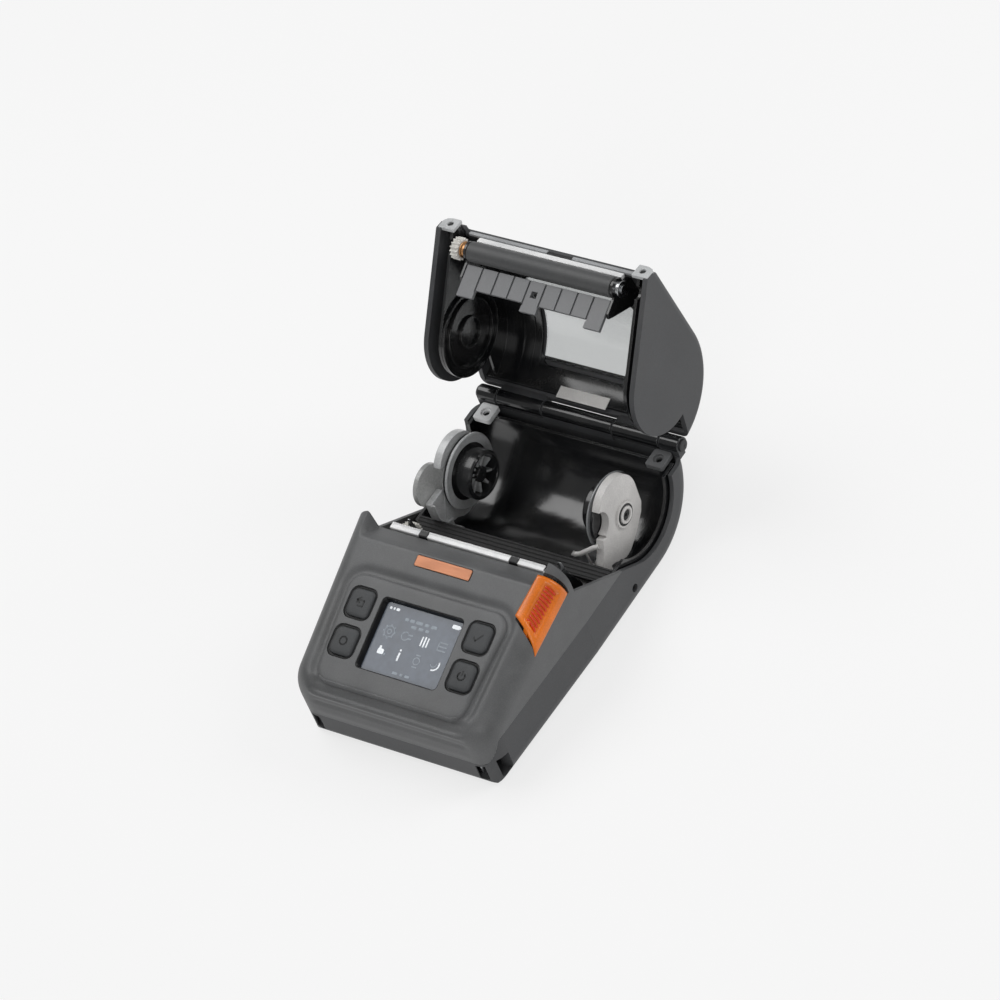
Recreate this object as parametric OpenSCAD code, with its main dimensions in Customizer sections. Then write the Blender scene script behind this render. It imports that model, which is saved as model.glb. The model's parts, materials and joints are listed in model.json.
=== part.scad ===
// Portable barcode printer with a clamshell lid, shown with the lid open.
// X runs across the width, -Y is the control panel end, +Y the hinge end, Z is up.
// The origin is on the base plane, at the middle of the closed printer's footprint to within 2 mm.

/* [Casing] */
// Width over the side walls
body_w = 118; // [112:1:126]
// Distance from the origin to the front end
front_y = 92.5; // [90:0.5:96]
// Distance from the origin to the hinge axis
hinge_y = 85.5; // [83:0.5:92]
// Height of the hinge axis above the base
hinge_z = 41; // [40:0.5:46]
// Height of the parting line between base and front cover
part_z = 26; // [25.5:0.25:28]
// Height of the parting line across the front
front_part = 14.5; // [14:0.25:18]
// Wall thickness of the casings
wall = 2.2; // [1.8:0.1:2.8]
// Fillet along the lower edges of the base
edge_r = 9; // [6:0.5:11]
// Rounding of the front corners seen from above
corner_r = 12; // [9:0.5:15]
// Rounding of the shoulders of the front cover
shoulder_r = 11; // [8:0.5:13]
// Taper of each side towards the front, in degrees
taper = 2; // [0:0.5:3]
// Top of the front cover at the front edge
low_z = 35.6; // [35:0.5:39]
// Slope of the front cover, in degrees
slope = 20; // [18:0.5:21]
// Where the front cover stops rising
crown_y = -22; // [-25:0.5:-20]

/* [Media bay] */
// Roll axis forward of the hinge axis
roll_back = 40; // [39:0.5:42]
// Height of the roll axis, also the radius of the round rear end
rear_r = 39.5; // [39:0.5:42]
// Inner radius of the roll trough
trough_r = 31; // [29:0.5:32]
// Thickness of the trough
liner_t = 1.5; // [1.2:0.1:2]
// How much narrower the widest roll is than the platen
media_margin = 2.5; // [1:0.5:6]
// Diameter of a roll disc
disc_d = 37; // [34:0.5:40]
// Diameter of the hub that enters the roll's core
hub_d = 24; // [22:0.5:25]
// Length of the hub
hub_len = 7; // [5:0.5:8]

/* [Lid] */
// Angle that the lid stands open, in degrees
lid_open = 96; // [90:1:100]
// Radius of the lid's dome
dome_r = 35.4; // [35:0.1:37]
// Slope of the lid in front of the dome, in degrees
lid_slope = 16; // [15:0.5:17]
// Radius of the round cheeks of the lid
cheek_r = 24.5; // [23:0.5:26]
// Angle of the cheeks' lower edge, in degrees
cheek_slope = 34; // [32:0.5:36]
// Gap between the lid and the casings
lid_gap = 0.8; // [0.6:0.1:1.2]
// Front end of the lid
nose_y = -10; // [-12:0.5:-9]
// Length of the clear window across the lid
window_w = 60; // [40:1:64]

/* [Print line] */
// Diameter of the rubber platen
platen_d = 9.5; // [9:0.1:10]
// Width beside each end of the platen, for the drive and the walls
side_room = 19.25; // [18.75:0.25:21]
// Diameter of the platen shaft
shaft_d = 4; // [3.5:0.1:4.4]
// Platen axis when closed, along Y
platen_y = -1.9; // [-2.4:0.1:-1.4]
// Platen axis when closed, height
platen_z = 45.6; // [45:0.1:46.2]
// Tilt of the print head from upright, in degrees
head_tilt = 20; // [18:1:22]
// Gap left for the paper between head and platen
paper_gap = 0.4; // [0.3:0.1:0.6]

/* [Control panel] */
// From the middle of a button column to the edge of the control panel
panel_margin = 10.75; // [9.5:0.25:11.5]
// Length of the control panel along the slope
panel_len = 53; // [51:0.5:54]
// How much narrower each side of the panel is at its lower edge
panel_taper = 2.5; // [1:0.5:4]
// Height that the panel stands proud
panel_h = 1.2; // [0.8:0.1:1.6]
// From the middle of a button column to the display opening
lcd_margin = 10.25; // [9.5:0.25:12]
// Height of the display opening
lcd_h = 35.5; // [30:0.5:37]
// Width of a button
button_w = 13; // [11:0.5:13.5]
// Length of a button
button_len = 14; // [12:0.5:15]
// Distance between the two button columns
button_span = 66.5; // [65:0.5:67]
// Distance between the buttons of a column
button_pitch = 19; // [18.5:0.5:21]
// Travel of a button
button_travel = 0.8; // [0.5:0.1:1]

/* [Battery and screws] */
// Width of the battery pack
battery_w = 70; // [64:1:74]
// Length of the battery pack
battery_len = 58; // [52:1:60]
// Height of the battery pack
battery_h = 20; // [18:0.5:21]
// Diameter of the casing screws' heads
screw_d = 5; // [4:0.2:5.6]
// Distance between the belt clip holes
clip_pitch = 40; // [30:1:50]
// Diameter of the belt clip holes
clip_d = 2.5; // [2:0.1:3.2]

/* [Gears] */
// Gear module
gear_m = 0.6; // [0.5:0.05:0.65]
// Teeth on the platen gear
platen_teeth = 16; // [14:2:16]
// Teeth on the idler gear
idler_teeth = 28; // [26:1:30]
// Teeth on the motor pinion
motor_teeth = 10; // [10:1:12]
// Width of a gear
gear_w = 4; // [3:0.5:4.5]

/* [Clearances] */
// Radial clearance of a running shaft
run_gap = 0.06; // [0.03:0.01:0.09]
// Gap between pieces that are seated on each other
seat = 0.3; // [0.2:0.05:0.4]
// Gap around a piece that slides
slide_gap = 0.4; // [0.3:0.05:0.6]

/* [Hidden] */
$fn = 64;
eps = 0.01;
far = 200;
hw = body_w/2;
roll_y = hinge_y - roll_back;
roll_z = rear_r;
hub_z = roll_z - 6;
platen_len = body_w - 2*side_room;
media_w = platen_len - media_margin;
panel_w = button_span + 2*panel_margin;
lcd_w = button_span - 2*lcd_margin;
barrel_r = 3.8;
pin_r = 2;
knuckle_x = hw - 12.9;
rim_z = hinge_z - barrel_r - 0.7;

// Control panel frame: origin at the panel's middle on the slope
panel_top_y = crown_y - 16;
lcd_v = 1.5;
button_v = 3.2;
panel_mid = panel_top_y - panel_len/2*cos(slope);
function slope_z(y) = low_z + (y + front_y - 3)*tan(slope);

// Lid outline
dome_y = hinge_y - 35.5;
dome_z = hinge_z - 5;
dome_ty = dome_y - dome_r*sin(lid_slope);
dome_tz = dome_z + dome_r*cos(lid_slope);
function lid_top(y) = dome_tz - (dome_ty - y)*tan(lid_slope);
cheek_ty = roll_y - cheek_r*sin(cheek_slope);
cheek_tz = roll_z - cheek_r*cos(cheek_slope);
function cheek_low(y) = cheek_tz + (cheek_ty - y)*tan(cheek_slope);
nose_r = 4;
lid_rear_z = hinge_z + barrel_r + 0.5;
lid_wall = wall;
lid_in = hw - 2.6;
frame_out = lid_in - seat;
frame_in = frame_out - 4.8;

// Bay side walls and arms
bay_in = hw - wall - liner_t - 0.8;
disc_t = 4;
arm_t = 4;
disc_x = media_w/2;
arm_x = disc_x + disc_t + slide_gap;
rail_r = 2;
rail_y = roll_y - 22;
rail_z = 10.5;
arm_travel = disc_x - 12.5;

// Head plane: contact point and direction
head_cy = platen_y - (platen_d/2 + paper_gap)*cos(head_tilt);
head_cz = platen_z - (platen_d/2 + paper_gap)*sin(head_tilt);
head_up = 3.4;
head_down = 9.4;
bar_t = 1.5;

// Latch
latch_y = -19;
latch_z = 35;
latch_r = 2;

// Layers outside the end of the platen: lid bracket, side plate, latch hook, gears
head_x = platen_len/2 + 0.15;
bracket_x0 = platen_len/2 + 0.55;
bracket_x1 = bracket_x0 + 1.2;
plate_x0 = bracket_x1 + slide_gap;
plate_x1 = plate_x0 + 1.2;
hook_x0 = plate_x1 + 0.35;
hook_x1 = hook_x0 + 0.9;
gear_x = -(hook_x1 + slide_gap + gear_w/2);
bush_r = 3;
corner_x = -gear_x + gear_w/2 + 0.5;

// Gears, stacked under the platen gear
pr_platen = gear_m*platen_teeth/2;
pr_idler = gear_m*idler_teeth/2;
pr_motor = gear_m*motor_teeth/2;
mesh_gap = 0.25;
idler_y = platen_y + 2;
idler_z = platen_z - sqrt(pow(pr_platen + pr_idler + mesh_gap, 2) - 4);
motor_dy = 6;
motor_y = idler_y - motor_dy;
motor_z = idler_z - sqrt(pow(pr_motor + pr_idler + mesh_gap, 2) - motor_dy*motor_dy);
motor_r = 7;
motor_len = 16;
post_r = 1.5;

// Release lever on the right shoulder
lever_y0 = -46;
lever_y1 = -17;

// Shared shapes

module xcyl(y, z, r, x0, x1) {
  translate([x0, y, z]) rotate([0, 90, 0]) cylinder(r = r, h = x1 - x0);
}

module xprism(x0, x1) {
  translate([x0, 0, 0]) rotate([90, 0, 90]) linear_extrude(x1 - x0) children();
}

module yprism(y0, y1) {
  translate([0, y1, 0]) rotate([90, 0, 0]) linear_extrude(y1 - y0) children();
}

module rrect(w, h, r) {
  square([w - 2*r, h], center = true);
  square([w, h - 2*r], center = true);
  for (sx = [-1, 1], sy = [-1, 1]) translate([sx*(w/2 - r), sy*(h/2 - r)]) circle(r);
}

module rblock(w, l, h, r) {
  linear_extrude(h) rrect(w, l, r);
}

// Half disc of radius r about X, toward +Y, with its two rims rounded by f, h wide on each side
module round_disc(r, h, f) {
  rotate([0, 90, 0]) rotate_extrude(angle = 180, $fn = 96) {
    translate([0, -h]) square([r - f, 2*h]);
    translate([0, f - h]) square([r, 2*h - 2*f]);
    for (s = [-1, 1]) translate([r - f, s*(h - f)]) circle(f);
  }
}

// Half section that ends on the right, rounded by f at the end that lies at z0
module edge_section(w, z0, z1, f) {
  translate([-far, z0 + f]) square([far + w, z1 - z0 - f]);
  translate([-far, z0]) square([far + w - f, z1 - z0]);
  translate([w - f, z0 + f]) circle(f);
}

module shoulder_section(w, z0, z1, f) {
  translate([-far, z0]) square([far + w, z1 - z0 - f]);
  translate([-far, z0]) square([far + w - f, z1 - z0]);
  translate([w - f, z1 - f]) circle(f);
}

module both_sides() {
  intersection() {
    children();
    mirror([1, 0, 0]) children();
  }
}

// Plan outline with the tapered sides' front corners rounded
module plan(g) {
  r = corner_r + g;
  wf = hw + g - (front_y - corner_r - 12)*tan(taper);
  translate([-hw - g, corner_r - front_y]) square([2*hw + 2*g, 2*far]);
  translate([r - wf, -front_y - g]) square([2*wf - 2*r, far]);
  for (s = [-1, 1]) translate([s*(wf - r), corner_r - front_y]) circle(r, $fn = 96);
}

taper_y = -12;

// Lid outline seen from the side, closed, grown by g
module lid_side(g) {
  c = cos(lid_slope);
  s = sin(lid_slope);
  r = dome_r + g;
  ty = dome_y - r*s;
  tz = dome_z + r*c;
  cr = cheek_r + g;
  cy = roll_y - cr*sin(cheek_slope);
  cz = roll_z - cr*cos(cheek_slope);
  ny = nose_y - g;
  ntop = tz - (ty - ny - nose_r)*tan(lid_slope);
  nlow = cz + (cy - ny)*tan(cheek_slope);
  polygon([
    [ty, tz], [ny + nose_r, ntop], [ny, ntop - nose_r*1.2], [ny, nlow], [cy, cz], [roll_y, roll_z],
    [roll_y + cr - 1, roll_z], [roll_y + cr - 1, lid_rear_z - g], [dome_y + dome_r*0.9, lid_rear_z - g]
  ]);
  translate([roll_y, roll_z]) circle(cr, $fn = 128);
  intersection() {
    translate([dome_y, dome_z]) circle(r, $fn = 160);
    translate([ty - 1, lid_rear_z - g]) square([far, far]);
  }
}

// Everything above the lower edge of the closed lid, grown by g
module lid_room(g) {
  cy = roll_y - (cheek_r + g)*sin(cheek_slope);
  cz = roll_z - (cheek_r + g)*cos(cheek_slope);
  ny = nose_y - g;
  lid_side(g);
  polygon([[ny, cz + (cy - ny)*tan(cheek_slope)], [ny, far], [far, far], [roll_y, roll_z], [cy, cz]]);
}

// Space inside the lid's rounded skin, t thick; f is the rounding of its long edges
module lid_skin(t, f) {
  h = hw - t;
  r = dome_r - t;
  translate([0, dome_y, dome_z]) rotate([lid_slope, 0, 0]) {
    round_disc(r, h, f);
    both_sides() yprism(-far/2, 0) shoulder_section(h, -far/2, r, f);
  }
}

// Section under the lid's top, t inside it
module dome_2d(t) {
  translate([dome_y, dome_z]) circle(dome_r - t, $fn = 160);
  translate([dome_ty, dome_tz]) rotate(lid_slope) translate([-far, -far - t]) square([far, far]);
}

// Skin of the base, t inside its outside; the tapered front starts a hair inside the straight rear
module base_skin(t, top) {
  h = hw - t;
  f = edge_r - t;
  translate([0, roll_y, roll_z]) round_disc(rear_r - t, h, f);
  both_sides() yprism(taper_y, roll_y) edge_section(h, t, top, f);
  intersection() {
    both_sides() translate([h, taper_y, 0]) rotate([0, 0, -taper]) translate([-h, -taper_y, 0])
      yprism(-far, taper_y + 0.3) edge_section(h - 0.03, t, top, f);
    linear_extrude(far) plan(-t);
    xprism(-far, far) front_profile(t);
  }
}

// Side profile at the front end: the foot of the front face is rounded
module front_profile(t) {
  r = 5 - t/2;
  translate([t - front_y, r + t]) square([far, far]);
  translate([t - front_y + r, t]) square([far, far]);
  translate([t - front_y + r, r + t]) circle(r);
}

// Parting line seen from the side: low across the front, up round the corner, level to the rear
part_line = [[-far, front_part], [1.5 - front_y, front_part], [8.5 - front_y, part_z - 0.6], [12 - front_y, part_z]];

module base_limit() {
  split = cheek_ty + (cheek_tz - part_z)/tan(cheek_slope);
  polygon(concat([[-far, -1]], part_line, [[split, part_z], [split, rim_z], [far, rim_z], [far, -1]]));
}

module on_panel(dz = 0) {
  translate([0, panel_mid, slope_z(panel_mid)]) rotate([slope, 0, 0]) translate([0, 0, dz]) children();
}

module battery_bay(g) {
  translate([0, battery_mid, 0]) rblock(battery_w + 2*g, battery_len + 2*g, battery_h + g, 4);
}
battery_mid = -front_y + 9 + battery_len/2;

screw_spots = [for (s = [-1, 1]) [s*(hw - 12), -24], for (s = [-1, 1]) [s*(hw - 17), 34]];
board_x = hw - 17;
board_spots = [for (s = [-1, 1], y = [-68, -32]) [s*board_x, y]];
board_z = battery_h + 3.4;
clip_y = 0;
bay_t = 1.6;
boss_x = hw - wall - 6.6;

// Casings

module base_housing() {
  color("#47494b") {
    difference() {
      union() {
        intersection() {
          base_skin(0, part_z + 20);
          xprism(-far, far) base_limit();
          difference() {
            translate([-far, -far, -1]) cube([2*far, 2*far, far]);
            intersection() {
              base_skin(wall, far);
              translate([-far, -far, wall]) cube([2*far, 2*far, far]);
            }
          }
        }
        base_fittings();
      }
      xprism(-far, far) lid_side(lid_gap);
      translate([0, battery_mid, -1])
        rblock(battery_w + 2*slide_gap, battery_len + 2*slide_gap, battery_h + 1.6 + slide_gap, 4);
      strap_pockets();
      for (p = screw_spots) translate([p[0], p[1], -eps]) {
        cylinder(d = 3, h = wall + 2);
        cylinder(d = screw_d + 0.4, h = 1.2);
      }
      for (s = [-1, 1]) translate([s*clip_pitch/2, clip_y, -1]) cylinder(d = clip_d, h = wall + 3.8);
      port_hole();
      latch_slot();
      xcyl(rail_y, rail_z, rail_r + run_gap, -far, far);
    }
    for (k = [[-hw + 2, -knuckle_x - 0.3], [-19.6, 19.6], [knuckle_x + 0.3, hw - 2]]) hinge_knuckle(k[0], k[1]);
  }
}

// Bosses, cradles and the walls of the battery bay inside the base
module base_fittings() {
  translate([0, battery_mid, 0.5])
    rblock(battery_w + 2*(slide_gap + bay_t), battery_len + 2*(slide_gap + bay_t), battery_h + 1.5 + slide_gap, 5);
  for (p = board_spots) translate([p[0], p[1], 1]) cylinder(r = 2.4, h = board_z - 1);
  for (s = [-1, 1]) translate([s*clip_pitch/2, clip_y, 1]) cylinder(d = clip_d + 3, h = wall + 3);
  for (s = [-1, 1]) mirror([s < 0 ? 1 : 0, 0, 0]) {
    difference() {
      translate([boss_x, rail_y - 3.4, 2]) cube([3.6, 6.8, rail_z + 1.4]);
      xcyl(roll_y, roll_z, trough_r + liner_t + seat, 0, far);
    }
    intersection() {
      union() {
        translate([pocket_x, pocket_y, 1]) cylinder(r = pocket_w + bay_t, h = pocket_z1 - 0.2);
        translate([pocket_x, pocket_y - 3.4, 1]) cube([20, strap_slot + 2.6, slot_z1 + 0.2]);
      }
      base_skin(0.5, far);
    }
    translate([28, roll_y - 12, 1]) difference() {
      cube([2, 24, 9]);
      translate([0, 12, roll_z - 1]) xcyl(0, 0, trough_r + liner_t + seat, -1, 3);
    }
  }
  translate([0, pinion_y, 1]) cylinder(r = post_r, h = 6.4);
}

// Knuckle of the base: a ring on the pin and a web down to the rear wall
module hinge_knuckle(x0, x1) {
  difference() {
    union() {
      xcyl(hinge_y, hinge_z, barrel_r, x0, x1);
      translate([x0, hinge_y - barrel_r, rim_z - 1]) cube([x1 - x0, barrel_r + 0.6, hinge_z - rim_z + 1]);
    }
    xcyl(hinge_y, hinge_z, pin_r + run_gap, x0 - 1, x1 + 1);
  }
}

// Pockets at the two front corners that a strap passes through
pocket_x = hw - 14;
pocket_y = 6.5 - front_y;
pocket_w = 6;
pocket_z0 = 4;
pocket_z1 = 13;
strap_slot = 6.2;
slot_z1 = 15.2;
module strap_pockets() {
  for (s = [-1, 1]) mirror([s < 0 ? 1 : 0, 0, 0]) translate([pocket_x, pocket_y, pocket_z0]) {
    cylinder(r = pocket_w, h = pocket_z1 - pocket_z0);
    translate([0, 4 - strap_slot, 0]) cube([20, strap_slot, slot_z1 - pocket_z0]);
    translate([-1, -20, 0]) cube([5, 20, pocket_z1 - pocket_z0]);
  }
}

module strap_pins() {
  color("#9a9c9e") for (s = [-1, 1])
    translate([s*(pocket_x - 2), pocket_y - 2.5, pocket_z0]) cylinder(r = 1.25, h = pocket_z1 - pocket_z0);
}

// Charging port in the left side wall and its rubber flap
port_y = 32.5 - front_y;
port_z = 18;
port_w = 11;
port_h = 7;
flap_w = 16;
flap_h = 12;
flap_in = 0.6;
flap_out = 0.8;

// Frame in which the tapered left wall is straight at x = -hw
module at_left_wall() {
  translate([-hw, taper_y, 0]) rotate([0, 0, taper]) translate([hw, -taper_y, 0]) children();
}

module port_hole() {
  at_left_wall() {
    translate([-hw - 5, port_y - port_w/2, port_z - port_h/2]) cube([12, port_w, port_h]);
    translate([-hw - 5, port_y - flap_w/2 - slide_gap, port_z - flap_h/2 - slide_gap])
      cube([5 + flap_in + slide_gap, flap_w + 2*slide_gap, flap_h + 2*slide_gap]);
  }
}

module port_cover() {
  color("#2c2d2e") at_left_wall() {
    translate([-hw - flap_out, port_y - flap_w/2, port_z - flap_h/2])
      cube([flap_in + flap_out, flap_w, flap_h - 0.7]);
    translate([-hw - 0.1, port_y + flap_w/2, port_z + flap_h/2 - 0.7]) rotate([90, 0, 0])
      cylinder(r = 0.7, h = flap_w);
  }
}

module charge_port() {
  color("#b8babc") at_left_wall() translate([-hw + flap_in + slide_gap + 0.4, port_y, port_z]) difference() {
    translate([0, -4.6, -1.9]) cube([7, 9.2, 3.8]);
    translate([-1, -4.1, -1.4]) cube([7, 8.2, 2.8]);
  }
}

// Catch that holds the battery pack, let into the floor behind it
catch_y = battery_mid + battery_len/2 + slide_gap;
module latch_slot() {
  translate([-8, catch_y - 1, -1]) cube([16, 14, wall + 5]);
}
module battery_latch() {
  color("#232425") {
    translate([-7.6, catch_y - 0.1, 0.5]) cube([15.2, 9.6, 2.2]);
    translate([-5, catch_y + 5, 0.2]) cube([10, 1.2, 1]);
  }
}

// Front cover envelope, shrunk by t
module cover_skin(t) {
  f = shoulder_r - t;
  h = hw - t;
  intersection() {
    both_sides() union() {
      translate([h, taper_y, 0]) rotate([0, 0, -taper]) translate([-h, -taper_y, 0])
        translate([0, taper_y, slope_z(taper_y)]) rotate([slope, 0, 0])
          yprism(-far, 0.3) shoulder_section(h, -far, -t, f);
      translate([0, taper_y, slope_z(taper_y)]) rotate([slope, 0, 0])
        yprism(0, far) shoulder_section(h, -far, -t, f);
    }
    linear_extrude(far) plan(-t);
    xprism(-far, far) cover_profile(t);
    union() {
      xprism(-valley_x - t, valley_x + t) polygon([[-far, -far], [-far, far], [crown_y - 40, far],
        [crown_y, slope_z(crown_y) - t], [crown_y + 60, slope_z(crown_y) - t - 60*tan(valley_slope)],
        [crown_y + 60, -far]]);
      for (s = [-1, 1]) xprism(s > 0 ? valley_x + t : -far, s > 0 ? far : -valley_x - t)
        square(2*far, center = true);
    }
  }
}
valley_x = hw - 9.5;
valley_slope = 30;

// Front face of the cover: a grip hollow under the panel edge
module cover_profile(t) {
  r = 5;
  y0 = t - front_y;
  top = low_z - t;
  translate([y0, 0]) square([far, top - r]);
  translate([y0 + r, 0]) square([far, far]);
  translate([y0 + r, top - r]) circle(r);
}

module front_cover() {
  color("#55575a") difference() {
    intersection() {
      cover_skin(0);
      xprism(-far, far) polygon(concat(part_line, [[40, part_z], [40, far], [-far, far]]));
    }
    intersection() {
      cover_skin(wall);
      translate([-far, -far, 1]) cube([2*far, far + 40, far]);
    }
    xprism(-far, far) lid_room(lid_gap);
    on_panel(-wall*2) linear_extrude(3*wall) panel_outline(-2);
    on_panel(-0.6) linear_extrude(5) panel_outline(0.15);
    lever_opening();
    name_seat(0.15);
    grip_grooves();
  }
  color("#55575a") {
    xcyl(lever_py, lever_pz, lever_pin, valley_x - 5, valley_x + 5.2);
    translate([valley_x - 5, lever_py - 2, lever_pz - 2]) cube([2, 4, 6.5]);
  }
}

module grip_grooves() {
  for (k = [0, 1]) xcyl(-front_y - 0.6, front_part + 10.5 + 7*k, 1.1, -hw + 16, hw - 16);
}

// Tapered outline of the raised panel
panel_r = 8;
module panel_outline(g) {
  l = panel_len/2 - panel_r;
  w = panel_w/2 - panel_r;
  hull() for (s = [-1, 1], e = [-1, 1]) translate([s*(w - (e < 0 ? panel_taper : 0)), e*l]) circle(panel_r + g);
}

module at_buttons() {
  for (sx = [-1, 1], sv = [-1, 1]) translate([sx*button_span/2, button_v + sv*button_pitch/2, 0]) children();
}

module control_panel() {
  color("#5b5d60") on_panel(-0.6 + 0.05) difference() {
    linear_extrude(panel_h + 0.6) panel_outline(0);
    translate([0, lcd_v, -1]) rblock(lcd_w, lcd_h, 10, 2.5);
    translate([0, 0, -1]) at_buttons() rblock(button_w + 2*gasket_t, button_len + 2*gasket_t, 10, 3);
  }
}
gasket_t = 1.3;

module keypad_gasket() {
  color("#1c1c1d") on_panel(-0.6 + 0.05) difference() {
    union() {
      at_buttons() rblock(button_w + 2*gasket_t - 0.2, button_len + 2*gasket_t - 0.2, panel_h + 0.9, 2.9);
      translate([0, 0, -1.2]) linear_extrude(1.2) intersection() {
        for (s = [-1, 1]) translate([s*button_span/2, button_v]) rrect(button_w + 2, button_pitch + button_len + 2, 3);
        panel_outline(-2.3);
      }
    }
    translate([0, 0, -2]) at_buttons() rblock(button_w, button_len, 10, 2.4);
  }
}

module button(sx, sv) {
  color("#333537") on_panel(-0.6 + 0.05)
    translate([sx*button_span/2, button_v + sv*button_pitch/2, -1]) {
      rblock(button_w - 0.7, button_len - 0.7, panel_h + 2, 2);
      translate([0, 0, panel_h + 2 - eps]) rblock(button_w - 2.7, button_len - 2.7, 0.5, 1.4);
    }
}
module button_back() { button(-1, 1); }
module button_ring() { button(-1, -1); }
module button_accept() { button(1, 1); }
module button_power() { button(1, -1); }

module display_lens() {
  color("#8d99a3") on_panel(-1.4) translate([0, lcd_v, 0]) rblock(lcd_w - 0.4, lcd_h - 0.4, 1, 2.3);
}

module display_module() {
  color("#3a4048") on_panel(-5.45) translate([0, lcd_v, 0]) {
    rblock(lcd_w - 3, lcd_h - 3, 4, 1);
    translate([0, 0, -1.2]) rblock(lcd_w + 4, lcd_h + 5, 1.3, 1);
  }
}

module name_seat(g) {
  y = crown_y - 2;
  translate([0, y, slope_z(y)]) rotate([slope, 0, 0]) translate([0, -2, -0.5])
    rblock(30.8 + 2*g, 5.2 + 2*g, 3, 0.8);
}

module name_plate() {
  y = crown_y - 2;
  color("#dd9a74") translate([0, y, slope_z(y)]) rotate([slope, 0, 0]) translate([0, -2, -0.5])
    rblock(30.8, 5.2, 0.8, 0.8);
}

// Release lever, wrapped round the right shoulder
lever_pin = 1;
lever_py = -42.5;
lever_pz = slope_z(lever_py) - 6.3066;
lever_low = slope_z(lever_y0) - 5.9327;
lever_rise = 8.6;
module lever_outline(g) {
  polygon([[hw - 10.4 - g, -38.5 - 2.5*g], [hw - 8.6 - g, lever_y1 + 2*g], [hw + 3, lever_y1 + 3 + 2*g],
    [hw + 3, lever_y0 - 3*g]]);
}

// Lower edge of the lever along the side, with gap g under it
module lever_above(g) {
  xprism(0, far) translate([lever_y0, lever_low - g]) rotate(lever_rise) translate([-far, 0]) square([2*far, far]);
}

module lever_opening() {
  intersection() {
    linear_extrude(far) lever_outline(slide_gap);
    lever_above(slide_gap);
  }
}

module release_lever() {
  color("#ff8214") {
    difference() {
      intersection() {
        cover_skin(-0.8);
        linear_extrude(far) lever_outline(0);
        lever_above(0);
      }
      cover_skin(wall + 0.8);
      xcyl(lever_py, lever_pz, lever_pin + run_gap, hw - 19, hw - 3);
      translate([hw - 19, lever_py - 3, lever_pz - 3]) cube([10, 6, 5]);
    }
    difference() {
      union() {
        intersection() {
          xcyl(lever_py, lever_pz, 2.6, hw - 8.4, hw - 5);
          cover_skin(wall + slide_gap);
        }
        intersection() {
          xprism(hw - 8.4, hw - 5) polygon([[lever_py - 1, lever_pz], [lever_py + 5, lever_pz], [lever_py + 9, lever_pz + 9],
            [lever_py + 3, lever_pz + 8]]);
          cover_skin(wall/2);
          linear_extrude(far) lever_outline(0);
        }
      }
      xcyl(lever_py, lever_pz, lever_pin + run_gap, hw - 19, hw - 3);
    }
  }
}

// Print line

module latch_bar() {
  color("#8f9193") {
    xcyl(latch_y, latch_z, latch_r, -hook_x1 - 1.5, hook_x1 + 1.5);
    for (s = [-1, 1]) mirror([s < 0 ? 1 : 0, 0, 0]) xprism(hook_x0, hook_x1) {
      translate([latch_y, latch_z]) circle(3.4);
      polygon([[latch_y - 2, latch_z - 2], [latch_y + 3, latch_z - 1], [platen_y - 6, platen_z - 2.4],
        [platen_y - bush_r - 1.4, platen_z + 0.4], [platen_y - bush_r - 0.4, platen_z + 2.4],
        [platen_y - bush_r - 0.4, platen_z + 4.6], [platen_y - 7, platen_z + 4.6], [latch_y - 2, latch_z + 3]]);
    }
  }
}

module latch_spring() {
  color("#c9cbcc") spring(latch_r + 0.6, 0.45, 6, 10, 12);
}

// Coil round the latch bar: one tube swept along a helix about X
module spring(r, wire, turns, x0, len) {
  steps = 8;
  n = turns*steps;
  pts = [for (i = [0:n]) let (a = i*360/steps) for (j = [0:5]) let (b = j*60)
    [x0 + len*i/n + wire*sin(b), latch_y + (r + wire + wire*cos(b))*cos(a),
     latch_z + (r + wire + wire*cos(b))*sin(a)]];
  faces = concat(
    [for (i = [0:n - 1], j = [0:5]) [i*6 + j, i*6 + (j + 1)%6, (i + 1)*6 + (j + 1)%6]],
    [for (i = [0:n - 1], j = [0:5]) [i*6 + j, (i + 1)*6 + (j + 1)%6, (i + 1)*6 + j]],
    [[5, 4, 3, 2, 1, 0]], [[for (j = [0:5]) n*6 + j]]);
  polyhedron(pts, faces);
}

module head_frame() {
  translate([0, head_cy, head_cz]) rotate([head_tilt, 0, 0]) children();
}

// Ceramic board on its aluminium heat sink
module print_head() {
  color("#cfd2d4") head_frame() {
    translate([-head_x, -4, -head_down]) cube([2*head_x, 3 + eps, head_up + head_down]);
    translate([-head_x + 1, -1, -head_down + 1]) cube([2*head_x - 2, 1, head_up + head_down - 1.5]);
  }
}

module head_bracket() {
  color("#6d7073") head_frame() {
    translate([-plate_x0 + seat, -9.5, -head_down - 1.6]) cube([2*(plate_x0 - seat), 1.2, head_up + head_down]);
    translate([-plate_x0 + seat, -9.5, -head_down - 1.6]) cube([2*(plate_x0 - seat), 9, 1.2]);
  }
}

module head_springs() {
  color("#d8dadb") head_frame() for (s = [-1, 1]) translate([s*24, -8.3, -4]) rotate([-90, 0, 0])
    difference() {
      cylinder(r = 2.6, h = 4.3 - seat);
      translate([0, 0, -1]) cylinder(r = 2, h = 7);
    }
}

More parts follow.
